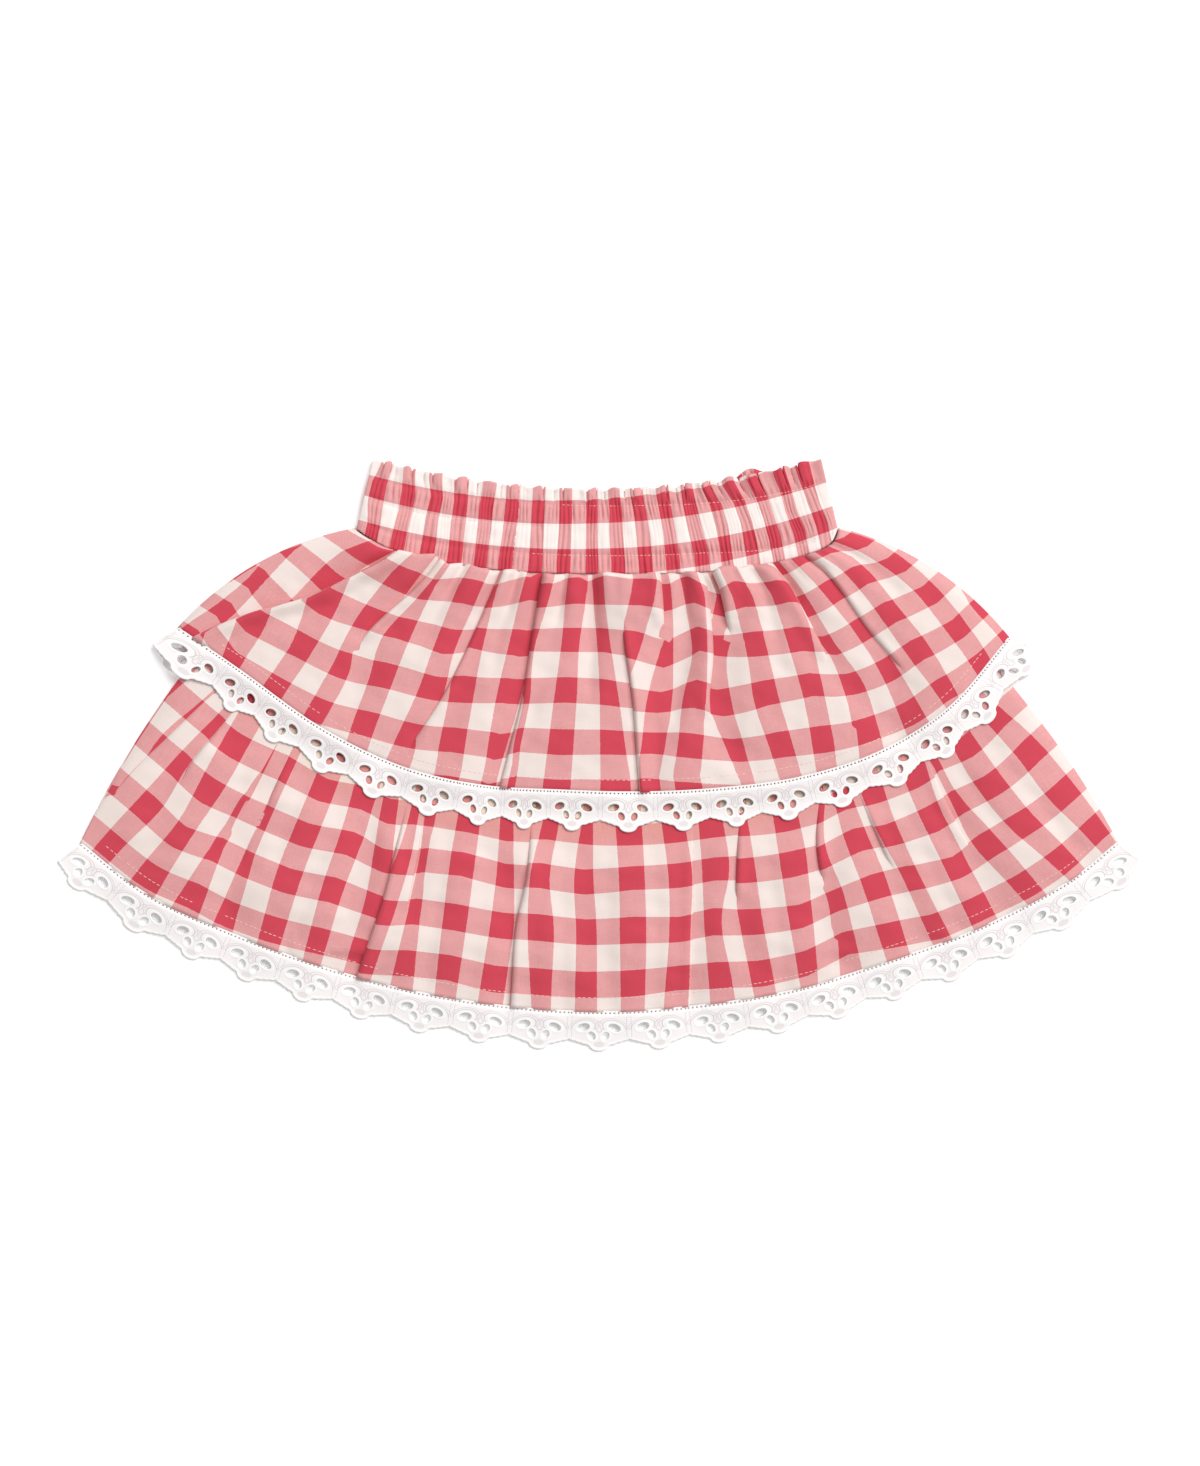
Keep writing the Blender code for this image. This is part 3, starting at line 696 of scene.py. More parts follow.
def mesh_object(name, points, faces, uvs, material, wall=None, smooth_faces=True):
    """Mesh from arrays; uvs is one pair for each corner of each face."""
    mesh = bpy.data.meshes.new(name)
    faces = np.asarray(faces)
    mesh.vertices.add(len(points))
    mesh.vertices.foreach_set("co", np.ascontiguousarray(points, float).ravel())
    mesh.loops.add(faces.size)
    mesh.loops.foreach_set("vertex_index", faces.ravel())
    mesh.polygons.add(len(faces))
    mesh.polygons.foreach_set("loop_start", np.arange(len(faces)) * faces.shape[1])
    mesh.polygons.foreach_set("loop_total", np.full(len(faces), faces.shape[1]))
    mesh.update(calc_edges=True)
    if uvs is not None:
        layer = mesh.uv_layers.new(name="cloth")
        layer.data.foreach_set("uv", np.ascontiguousarray(uvs, float).ravel())
    mesh.validate()
    if smooth_faces:
        mesh.shade_smooth()
    obj = bpy.data.objects.new(name, mesh)
    bpy.context.scene.collection.objects.link(obj)
    mesh.materials.append(material)
    if wall:
        thick = obj.modifiers.new("wall", "SOLIDIFY")
        thick.thickness = wall / 1000
        thick.offset = 0.0
        thick.use_even_offset = False
    return obj


def grid_faces(rows, cols, wrap=False):
    """Faces of a grid whose rows run down the cloth, and the (row, column) of each corner; wrap closes it round."""
    r, c = np.meshgrid(np.arange(rows - 1), np.arange(cols if wrap else cols - 1), indexing="ij")
    r, c = r.ravel(), c.ravel()
    rr = np.stack([r, r + 1, r + 1, r], 1)
    cc = np.stack([c, c, c + 1, c + 1], 1)
    return rr, cc, rr * cols + cc % cols


# the lace's repeat: its length, and its eyelets (mm from a tip's line and from the top edge)
TILE = 28.8
EYELETS = [
    # x     y     long  short tilt
    (-7.7,  8.3,  6.0,  3.6, -15.0),
    (7.3,   8.6,  6.0,  3.6,  20.0),
    (-3.6,  12.6, 4.3,  3.2,  62.0),
    (3.0,   12.8, 4.3,  3.2, -62.0),
]


# ----------------------------------------------------------------- materials


class Nodes:
    def __init__(self, name):
        self.mat = bpy.data.materials.new(name)
        self.mat.use_nodes = True
        self.tree = self.mat.node_tree
        self.shader = self.tree.nodes["Principled BSDF"]
        self.shader.inputs["Metallic"].default_value = 0.0

    def new(self, kind, **props):
        n = self.tree.nodes.new(kind)
        for k, v in props.items():
            setattr(n, k, v)
        return n

    def link(self, a, b):
        self.tree.links.new(a, b)

    def feed(self, socket, value):
        if isinstance(value, (int, float)):
            socket.default_value = value
        elif isinstance(value, tuple):
            socket.default_value = (*value, 1.0) if len(value) == 3 and len(socket.default_value) == 4 else value
        else:
            self.link(value, socket)

    def math(self, op, a, b=0.0, c=None):
        n = self.new("ShaderNodeMath", operation=op)
        self.feed(n.inputs[0], a)
        self.feed(n.inputs[1], b)
        if c is not None:
            self.feed(n.inputs[2], c)
        return n.outputs[0]

    def uv(self):
        n = self.new("ShaderNodeUVMap", uv_map="cloth")
        split = self.new("ShaderNodeSeparateXYZ")
        self.link(n.outputs[0], split.inputs[0])
        return n.outputs[0], split.outputs[0], split.outputs[1]

    def noise(self, scale, detail=2.0, rough=0.5, vector=None):
        n = self.new("ShaderNodeTexNoise")
        n.inputs["Scale"].default_value = scale
        n.inputs["Detail"].default_value = detail
        n.inputs["Roughness"].default_value = rough
        if vector is not None:
            self.link(vector, n.inputs["Vector"])
        return n.outputs[0]

    def scaled(self, vector, factors):
        n = self.new("ShaderNodeVectorMath", operation="MULTIPLY")
        self.link(vector, n.inputs[0])
        n.inputs[1].default_value = factors
        return n.outputs[0]

    def ramp(self, fac, stops):
        n = self.new("ShaderNodeValToRGB")
        while len(n.color_ramp.elements) < len(stops):
            n.color_ramp.elements.new(0.5)
        for e, (at, colour) in zip(n.color_ramp.elements, stops):
            e.position = at
            e.color = (*colour, 1.0)
        self.link(fac, n.inputs[0])
        return n.outputs[0]

    def mix(self, fac, a, b):
        n = self.new("ShaderNodeMix", data_type="RGBA")
        self.feed(n.inputs[0], fac)
        self.feed(n.inputs[6], a)
        self.feed(n.inputs[7], b)
        return n.outputs[2]

    def bump(self, height, distance, strength=1.0):
        n = self.new("ShaderNodeBump")
        n.inputs["Strength"].default_value = strength
        n.inputs["Distance"].default_value = distance
        self.link(height, n.inputs["Height"])
        self.link(n.outputs[0], self.shader.inputs["Normal"])

    def set(self, **values):
        for k, v in values.items():
            self.shader.inputs[k.replace("_", " ")].default_value = v


def linear(r, g, b):
    return tuple(c / 12.92 if c <= 0.04045 else ((c + 0.055) / 1.055) ** 2.4 for c in (r / 255, g / 255, b / 255))


RED, PINK, CREAM = linear(208, 68, 85), linear(227, 157, 157), linear(240, 225, 219)


def gingham(name, threads=34.0, fuzz=0.012, bounce_tint_from=None, cream=CREAM, blush=linear(238, 214, 209)):
    """Yarn-dyed check: red and white warp crossing red and white weft, one check for each unit of the cloth's map."""
    n = Nodes(name)
    vector, u, r = n.uv()
    wobble = n.math("MULTIPLY", n.math("SUBTRACT", n.noise(9.0, 3.0, 0.6, vector), 0.5), fuzz * 4)
    uu, rr = n.math("ADD", u, wobble), n.math("ADD", r, wobble)
    column = n.math("SUBTRACT", 1.0, n.math("FLOORED_MODULO", n.math("FLOOR", n.math("ADD", uu, 0.5)), 2.0))
    row = n.math("FLOORED_MODULO", n.math("FLOOR", rr), 2.0)
    i = n.math("FLOOR", n.math("MULTIPLY", u, threads))
    j = n.math("FLOOR", n.math("MULTIPLY", r, threads))
    over = n.math("FLOORED_MODULO", n.math("ADD", i, j), 2.0)
    mean = n.math("MULTIPLY", n.math("ADD", column, row), 0.5)
    thread = n.math("ADD", n.math("MULTIPLY", column, over), n.math("MULTIPLY", row, n.math("SUBTRACT", 1.0, over)))
    value = n.math("ADD", n.math("MULTIPLY", mean, 0.8), n.math("MULTIPLY", thread, 0.2))
    warp = n.noise(1.0, 2.0, 0.6, n.scaled(vector, (34.0, 1.6, 1.0)))
    weft = n.noise(1.0, 2.0, 0.6, n.scaled(vector, (1.6, 34.0, 1.0)))
    slub = n.math("SUBTRACT", n.math("ADD", warp, weft), 1.0)
    speck = n.noise(16.0, 3.0, 0.7, vector)
    value = n.math("ADD", value, n.math("ADD", n.math("MULTIPLY", slub, 0.18), n.math("MULTIPLY", n.math("SUBTRACT", speck, 0.5), 0.16)))
    colour = n.ramp(value, [(0.0, cream), (0.12, blush), (0.5, PINK), (0.88, linear(211, 82, 97)), (1.0, RED)])
    # painted warm bounce light: from the given row of checks up, starting higher towards the sides, the cream, pink and
    # red shift to peach, standing in for light bounced under the upper tier's lace
    if bounce_tint_from:
        aside = n.math("DIVIDE", n.math("SUBTRACT", u, 26.0), 22.0)
        from_row = n.math("MULTIPLY_ADD", n.math("MULTIPLY", aside, aside), 1.5, bounce_tint_from)
        under = n.math("MULTIPLY", n.math("SUBTRACT", r, from_row), 0.7)
        under = n.math("MULTIPLY", n.math("MINIMUM", n.math("MAXIMUM", under, 0.0), 1.0), 0.7)
        colour = n.mix(under, colour, n.ramp(value, [(0.0, linear(243, 222, 200)), (0.12, linear(242, 210, 188)),
                                                     (0.5, linear(231, 155, 143)), (0.88, linear(211, 80, 91)), (1.0, linear(207, 66, 80))]))
    n.link(colour, n.shader.inputs["Base Color"])
    weave = n.math("MULTIPLY", n.math("SINE", n.math("MULTIPLY", u, threads * math.pi)),
                   n.math("SINE", n.math("MULTIPLY", r, threads * math.pi)))
    height = n.math("ADD", n.math("MULTIPLY", weave, 0.5), n.math("MULTIPLY", slub, 1.2))
    n.bump(height, 0.00008, 0.5)
    n.set(Roughness=0.86, Sheen_Weight=0.12, Sheen_Roughness=0.5, Specular_IOR_Level=0.25)
    return n.mat


def plain(name, colour, grain=2200.0, rough=0.85):
    """Plain cloth: colour uneven with the yarn, fine weave in the bump."""
    n = Nodes(name)
    coords = n.new("ShaderNodeTexCoord").outputs["Object"]
    yarn = n.noise(grain, 2.0, 0.5, coords)
    cloud = n.noise(60.0, 3.0, 0.5, coords)
    dark = tuple(c * 0.86 for c in colour)
    n.link(n.mix(n.math("ADD", n.math("MULTIPLY", yarn, 0.5), n.math("MULTIPLY", cloud, 0.4)), colour, dark),
           n.shader.inputs["Base Color"])
    n.bump(yarn, 0.0001, 0.5)
    n.set(Roughness=rough, Sheen_Weight=0.1, Specular_IOR_Level=0.25)
    return n.mat


def broderie(name):
    """White cotton embroidery: satin rims round the eyelets and along the scallops, thin lines between the motifs. The
    lines, the petal and the row of little holes carry painted shade, the rims partly a painted highlight.
    """
    n = Nodes(name)
    _, across, y = n.uv()
    x = n.math("MULTIPLY", n.math("SUBTRACT", n.math("FRACT", across), 0.5), TILE)

    def beyond(ex, ey, long, short, tilt):
        """Distance outside an oval, in mm."""
        c, s = math.cos(math.radians(tilt)), math.sin(math.radians(tilt))
        dx, dy = n.math("SUBTRACT", x, ex), n.math("SUBTRACT", y, ey)
        a = n.math("ADD", n.math("MULTIPLY", dx, c), n.math("MULTIPLY", dy, s))
        b = n.math("SUBTRACT", n.math("MULTIPLY", dy, c), n.math("MULTIPLY", dx, s))
        a, b = n.math("DIVIDE", a, long / 2), n.math("DIVIDE", b, short / 2)
        rho = n.math("SQRT", n.math("ADD", n.math("MULTIPLY", a, a), n.math("MULTIPLY", b, b)))
        return n.math("MULTIPLY", n.math("SUBTRACT", rho, 1.0), (long + short) / 4), a, b

    def near(value, at, width):
        """1 where value is at, 0 from width away."""
        off = n.math("DIVIDE", n.math("ABSOLUTE", n.math("SUBTRACT", value, at)), width)
        return n.math("MAXIMUM", n.math("SUBTRACT", 1.0, n.math("MULTIPLY", off, off)), 0.0)

    rims, lines = 0.0, 0.0
    for ex, ey, long, short, tilt in EYELETS:
        out, a, b = beyond(ex, ey, long, short, tilt)
        ribs = n.math("MULTIPLY_ADD", n.math("SINE", n.math("MULTIPLY", n.math("ARCTAN2", b, a), 26.0)), 0.16, 0.84)
        rims = n.math("MAXIMUM", rims, n.math("MULTIPLY", near(out, 0.55, 0.8), ribs))
        if long > 5:
            above = n.math("LESS_THAN", y, ey + 1.2)
            lines = n.math("MAXIMUM", lines, n.math("MULTIPLY", near(out, 2.25, 0.45), above))
            lines = n.math("MAXIMUM", lines, n.math("MULTIPLY", near(out, 3.5, 0.4), n.math("MULTIPLY", above, 0.6)))
            rims = n.math("MAXIMUM", rims, n.math("MULTIPLY", n.math("MULTIPLY", near(out, 1.85, 0.4), above), 0.5))
    middle, _, _ = beyond(0.0, 8.0, 3.0, 4.6, 0)
    lines = n.math("MAXIMUM", lines, n.math("MULTIPLY", near(middle, 0.35, 0.3), 0.8))
    petal, _, _ = beyond(0.0, 16.9, 5.0, 2.8, 0)
    leaf = n.math("MULTIPLY", n.math("LESS_THAN", petal, 0.0), 0.5)
    t = n.math("ABSOLUTE", x)
    side_line = near(t, 13.3, 0.3)
    dots = n.math("GREATER_THAN", n.math("SINE", n.math("MULTIPLY", y, 6.0)), -0.2)
    low = n.math("MULTIPLY", n.math("GREATER_THAN", y, 3.0), n.math("LESS_THAN", y, 14.4))
    lines = n.math("MAXIMUM", lines, n.math("MULTIPLY", n.math("MULTIPLY", side_line, dots), low))
    ease = n.math("MULTIPLY", t, 1 / (TILE / 2))
    edge = n.math("SUBTRACT", 17.6, n.math("MULTIPLY", n.math("MULTIPLY", ease, ease), 2.9))
    tip = n.math("SQRT", n.math("MAXIMUM", n.math("SUBTRACT", 1.0, n.math("POWER", n.math("DIVIDE", t, 4.4), 2.0)), 0.0))
    edge = n.math("ADD", edge, n.math("MULTIPLY", tip, 2.9))
    border = n.math("SUBTRACT", edge, y)
    ribs = n.math("MULTIPLY_ADD", n.math("SINE", n.math("MULTIPLY", x, 9.0)), 0.2, 0.8)
    rims = n.math("MAXIMUM", rims, n.math("MULTIPLY", near(border, 0.5, 1.1), ribs))
    rims = n.math("MAXIMUM", rims, n.math("MULTIPLY", near(y, 2.1, 0.5), 0.6))
    # painted shade: the row of little holes along the top edge, marked here, is darkened greyish pink below
    hole_row_shade = n.math("MULTIPLY", near(y, 1.15, 0.5),
                       n.math("GREATER_THAN", n.math("SINE", n.math("MULTIPLY", n.math("ADD", x, 14.175), 2 * math.pi / 2.1)), 0.55))
    coords = n.new("ShaderNodeTexCoord").outputs["Object"]
    fine = n.noise(2600.0, 2.0, 0.6, coords)
    cloud = n.noise(140.0, 3.0, 0.5, coords)
    ground = n.mix(n.math("MULTIPLY", n.math("ADD", fine, cloud), 0.5), linear(255, 252, 251), linear(249, 242, 241))
    # painted shade: the thin relief lines round the eyelets and the petal are darkened to grey, as the relief's shade
    # would make them
    colour = n.mix(n.math("MAXIMUM", lines, leaf), ground, linear(222, 211, 213))
    # the rims a shade whiter than the ground: partly the denser satin thread, partly a painted highlight on the raised
    # satin
    colour = n.mix(n.math("MINIMUM", n.math("MULTIPLY", rims, 1.6), 1.0), colour, linear(255, 254, 253))
    # painted shade in the little holes, with the cloth below showing through
    colour = n.mix(n.math("MULTIPLY", hole_row_shade, 0.7), colour, linear(205, 190, 190))
    n.link(colour, n.shader.inputs["Base Color"])
    height = n.math("SUBTRACT", n.math("MULTIPLY_ADD", fine, 0.12, rims), n.math("MULTIPLY", lines, 0.5))
    n.bump(height, 0.00012, 0.6)
    n.set(Roughness=0.8, Sheen_Weight=0.15, Specular_IOR_Level=0.3)
    return n.mat


cotton = gingham("gingham")
# the lower tier's cloth carries the painted warm bounce light from row 6.6 of its checks up
cotton_low = gingham("gingham_lower_tier", bounce_tint_from=6.6)
# painted light: the band is the same cloth as the tiers, with its cream and blush made lighter so its white checks come
# out brighter
band_cotton = gingham("gingham_band_cloth", cream=linear(250, 237, 232), blush=linear(247, 227, 222))
lace_white = broderie("broderie")
lining = plain("lining_cotton", linear(240, 236, 230))
jersey = plain("shorts_jersey", linear(238, 232, 228), 1500.0, 0.9)
thread = plain("thread", linear(252, 214, 206), 3000.0, 0.7)

# --------------------------------------------------------------------- tiers


def tube(name, front, zf, back, zb, material, round_out=0.9, first_row=0.0):
    """Front and back of a tier in one tube: the front from left to right, round the side, the back from right to left."""
    rows = len(front.vs)
    turn = np.linspace(0, math.pi, 5)[1:-1]
    fp, bp = place(front.xy, zf), place(back.xy, zb)

    def side_points(a, b, outward):
        out = []
        for t in turn:
            mid, half = (a + b) / 2, (a - b) / 2
            reach = np.minimum(np.abs(half[:, 2]), round_out / 1000) * math.sin(t)
            p = mid + half * math.cos(t)
            p[:, 0] += outward[:, 0] * reach
            p[:, 1] += outward[:, 1] * reach
            out.append(p)
        return np.stack(out, 1)

    def outward(laid, at_end):
        e = laid.xy[:, -1] - laid.xy[:, -2] if at_end else laid.xy[:, 0] - laid.xy[:, 1]
        return e / np.linalg.norm(e, axis=1)[:, None]

    right = side_points(fp[:, -1], bp[:, 0], outward(front, True))
    left = side_points(bp[:, -1], fp[:, 0], outward(front, False))
    points = np.concatenate([fp, right, bp, left], 1)
    gap = 0.06 * np.arange(1, 4)[None, :]
    u_right = front.u[:, -1:] + gap
    u_back = front.u[:, -1:] + 0.24 + back.u - back.u[:, :1]
    u_left = u_back[:, -1:] + gap
    u = np.concatenate([front.u, u_right, u_back, u_left, u_left[:, -1:] + 0.06], 1)
    r = np.concatenate([front.r, np.repeat(front.r[:, -1:], 3, 1), back.r, np.repeat(front.r[:, :1], 4, 1)], 1)
    cols = points.shape[1]
    rr, cc, faces = grid_faces(rows, cols, wrap=True)
    uvs = np.stack([u[rr, cc], r[rr, cc] + first_row], -1)
    return mesh_object(name, points.reshape(-1, 3), faces, uvs.reshape(-1, 2), material, CLOTH)


def rows_between(start, stop, count, dense=0.0):
    """Shares down the cloth, closer together near the top by dense."""
    t = np.linspace(0, 1, count)
    return start + (stop - start) * (t - dense * t * (1 - t))


vs1 = rows_between(0.004, 1.0, 58, 0.35)
front1 = Laid(tier1_plan, FOLDS1, ROWS1, HEM_ROW1, PITCH1, SIDES1, vs1, 1.7)
front1.settle(CHECKS1, ROWS1)
back1 = Laid(lambda f, v: tier1_plan(1 - f, v), BACK1, ROWS1, [(1 - a, b) for a, b in HEM_ROW1[::-1]], PITCH1,
             None, vs1, 4.0, face=-1)


def tier1_height(laid):
    f, v = laid.f, laid.v
    inner = smooth(np.minimum(f, 1 - f), 0.0, 0.06)
    z = z_tier1_front(f, v) + 0.5
    z += laid.rise * (0.25 + 0.75 * inner)
    z += heads(laid) * (3.2 * smooth(v, 0.0, 0.03) * (1 - smooth(v, 0.04, 0.30))) * inner
    z -= laid.valley * (1.3 + 1.0 * (1 - smooth(v, 0.05, 0.5))) * inner
    z += 0.3 * np.sin(laid.m * 2 * math.pi / 8.3 + 1.7 * np.sin(laid.m / 19)) * (1 - smooth(v, 0.02, 0.2)) * inner
    z += 0.27 * waves(laid.xy[..., 0], laid.xy[..., 1], (11, 19, 34), 5) * inner
    g = np.clip((f - YOKE_IN) / (1 - 2 * YOKE_IN), 0, 1)
    under = Z_YOKE_BACK + 2 * WALL + GAP + (Z_YOKE_FRONT - Z_YOKE_BACK - WALL - GAP) * side(g, 0.045) + 0.25
    under = 1.6 + (under - 1.6) * (1 - smooth(v, 0.93, 0.96)) * ((g > 0) & (g < 1))
    stitched = np.minimum(z, under + 0.1)
    z = stitched + (z - stitched) * smooth(v, 0.0, 0.014)
    return under + np.logaddexp(0.0, 5.0 * (z - under)) / 5.0


def heads(laid):
    """1 on top of a gather, 0 in the folds and valleys between them, at the waist seam."""
    uneven = 0.8 + 0.2 * np.sin(laid.m / 7.0 + 1.0) * np.sin(laid.m / 19.0 + 2.0)
    return (1 - laid.near_fold(2.6)) * uneven


# share of the width, and how far the gathers' heads stand over the waist seam there, in mm
HEADS = ((0.0, 0.5), (0.06, 0.0), (0.074, 0.4), (0.096, 2.2), (0.135, 3.0), (0.16, 5.2), (0.183, 2.6), (0.199, 1.0),
         (0.227, 3.2), (0.262, 1.4), (0.277, 1.7), (0.293, -0.4), (0.311, 1.9), (0.327, 2.6), (0.355, 1.4),
         (0.365, 0.0), (0.381, 1.4), (0.402, 1.2), (0.410, 0.2), (0.434, 1.5), (0.461, 0.9), (0.477, -0.9),
         (0.493, 1.5), (0.514, 2.4), (0.556, 1.1), (0.593, 1.5), (0.614, 2.7), (0.62, 1.2), (0.675, 2.2),
         (0.698, 1.3), (0.712, -1.0), (0.728, 1.2), (0.739, 3.6), (0.763, 4.1), (0.781, 1.8), (0.799, 3.0),
         (0.828, 1.9), (0.90, 1.6), (0.942, 0.6), (1.0, 0.0))


def over_seam(laid):
    """The gathers bulge over the waist seam, each by its own amount."""
    f, v = laid.f, laid.v
    up = laid.plan(f, np.zeros_like(f)) - laid.plan(f, np.full_like(f, 0.1))
    up /= np.linalg.norm(up, axis=-1)[..., None]
    reach = np.interp(f, *zip(*HEADS))
    reach = reach * smooth(v, 0.002, 0.016) * (1 - smooth(v, 0.016, 0.13))
    return laid.xy + up * (reach * smooth(np.minimum(f, 1 - f), 0.01, 0.05))[..., None]


zf1 = tier1_height(front1)
front1.xy = over_seam(front1)
zb1 = 0.25 + back1.rise
tier1 = tube("upper_tier", front1, zf1, back1, zb1, cotton)
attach(tier1, "root")
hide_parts("tier1_front", "tier1_back")

vs2 = rows_between(0.0, 1.0, 62)
front2 = Laid(tier2_plan, FOLDS2, ROWS2, HEM_ROW2, PITCH2, SIDES2, vs2, 1.8)
front2.settle(CHECKS2, ROWS2)
back2 = Laid(lambda f, v: tier2_plan(1 - f, v), BACK1, ROWS2, HEM_ROW2, PITCH2, None, vs2, 4.5, face=-1)


def over_shorts(xy):
    """Height just over the shorts, where they lie under a place, in mm."""
    top = np.zeros(xy.shape[:-1])
    for node in ("shorts_front_left", "shorts_front_right"):
        low, high = (np.array(corner) * 1000 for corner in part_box(node))
        near = np.ones(xy.shape[:-1])
        for k, shift in ((0, CENTRE_X), (1, CENTRE_Y)):
            at = xy[..., k] - shift
            near = near * smooth(at, low[k] - 5, low[k] - 1) * (1 - smooth(at, high[k] + 1, high[k] + 5))
        top = np.maximum(top, (high[2] + 0.3) * near)
    return top


def tier2_height(laid):
    f, v = laid.f, laid.v
    inner = smooth(np.minimum(f, 1 - f), 0.0, 0.05)
    z = z_tier2_front(f, v) + 0.5
    z += (laid.rise - 1.2 * laid.valley) * inner * smooth(v, 0.2, 0.42)
    z += 0.27 * waves(laid.xy[..., 0], laid.xy[..., 1], (12, 20, 36), 8) * inner * smooth(v, 0.1, 0.4)
    under = np.maximum(z_tier2_back(f, v) + 1.2, over_shorts(laid.xy))
    return under + np.logaddexp(0.0, 5.0 * (z - under)) / 5.0


zf2 = tier2_height(front2)
zb2 = z_tier2_back(back2.f, back2.v) + 0.25 + back2.rise
tier2 = tube("lower_tier", front2, zf2, back2, zb2, cotton_low, first_row=1.0)
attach(tier2, "root")
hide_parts("tier2_front", "tier2_back")

# -------------------------------------------------------------------- stitches


def dashes(paths, long, pitch, wide=0.34, high=0.16):
    """Small rounded bars along paths of points (mm): one row of stitches."""
    points, faces = [], []
    profile = [(-1.0, 0.0), (-0.6, 0.8), (0.0, 1.0), (0.6, 0.8), (1.0, 0.0)]
    for path in paths:
        path = np.asarray(path, float)
        along = np.concatenate([[0], np.cumsum(np.linalg.norm(np.diff(path, axis=0), axis=1))])
        at = pitch * 0.3
        while at + long < along[-1]:
            ends = [np.array([np.interp(at + long * q, along, path[:, k]) for k in range(3)]) for q in (0, 0.15, 0.5, 0.85, 1)]
            run = ends[-1] - ends[0]
            across = np.array([-run[1], run[0], 0.0]) / max(np.hypot(run[0], run[1]), 1e-6)
            start = len(points)
            for e, size in zip(ends, (0.35, 0.9, 1.0, 0.9, 0.35)):
                for a, b in profile:
                    points.append(e + across * a * wide / 2 * size + np.array([0, 0, high * b * size]))
            for i in range(4):
                for j in range(4):
                    a = start + i * 5 + j
                    faces.append((a, a + 5, a + 6, a + 1))
            at += pitch * (1 + 0.12 * math.sin(at * 1.7))
    return np.array(points), np.array(faces)


def hem_path(laid, z, above_hem, ranges):
    """Line at above_hem mm from the hem on the laid cloth, panel by panel, kept to the given shares of the width."""
    paths = []
    for p in sorted(set(laid.panel[laid.panel >= 0])):
        line = []
        for c in np.where(laid.panel == p)[0]:
            xy, zz = laid.xy[:, c], z[:, c]
            down = np.linalg.norm(xy - xy[-1], axis=1)
            k = np.argmax(down < above_hem)
            a = (down[k - 1] - above_hem) / (down[k - 1] - down[k])
            f = laid.f[k, c]
            if not any(lo <= f <= hi for lo, hi in ranges):
                if len(line) > 3:
                    paths.append(line)
                line = []
                continue
            spot = xy[k - 1] + (xy[k] - xy[k - 1]) * a
            line.append((spot[0], spot[1], zz[k - 1] + (zz[k] - zz[k - 1]) * a + CLOTH / 2 + 0.02))
        if len(line) > 3:
            paths.append(line)
    return paths


def stitched(name, points, faces):
    shifted = (points - [CENTRE_X, CENTRE_Y, 0.0]) / 1000
    obj = mesh_object(name, shifted, faces[:, ::-1], None, thread)
    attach(obj, "root")
    return obj


stitched("upper_hem_stitches", *dashes(hem_path(front1, zf1, 6.2, [(0.04, 0.97)]), 1.7, 2.6))
stitched("lower_hem_stitches", *dashes(hem_path(front2, zf2, 7.2, [(0.02, 0.98)]), 1.7, 2.6))

# ---------------------------------------------------------------------- lace


def oval(x, y, long, short, tilt, count):
    t = np.linspace(0, 2 * math.pi, count, endpoint=False)
    a, b = long / 2 * np.cos(t), short / 2 * np.sin(t)
    c, s = math.cos(math.radians(tilt)), math.sin(math.radians(tilt))
    return np.stack([x + a * c - b * s, y + a * s + b * c], 1)


LADDER = [(x, 1.15) for x in np.arange(-13.65, 14.4, 2.1)]


TIPS1 = (42, 95, 150, 208, 266, 324, 376, 422, 474, 534, 592, 648, 702, 758, 817, 872, 921, 973)


def scallop_depth(x):
    """Depth of the lace's edge at x from a tip's line: straight shoulders with small bumps, and a round tip between them."""
    t = np.abs(x)
    shoulder = 17.6 - 2.6 * smooth(t, 3.0, TILE / 2) - 0.35 * smooth(t, 11.5, TILE / 2)
    tip = 2.9 * np.sqrt(np.clip(1 - (x / 4.4) ** 2, 0, 1))
    bumps = 0.32 * np.abs(np.sin(math.pi * (t - 0.4) / 2.75)) * smooth(t, 2.0, 4.5)
    return shoulder + tip + bumps


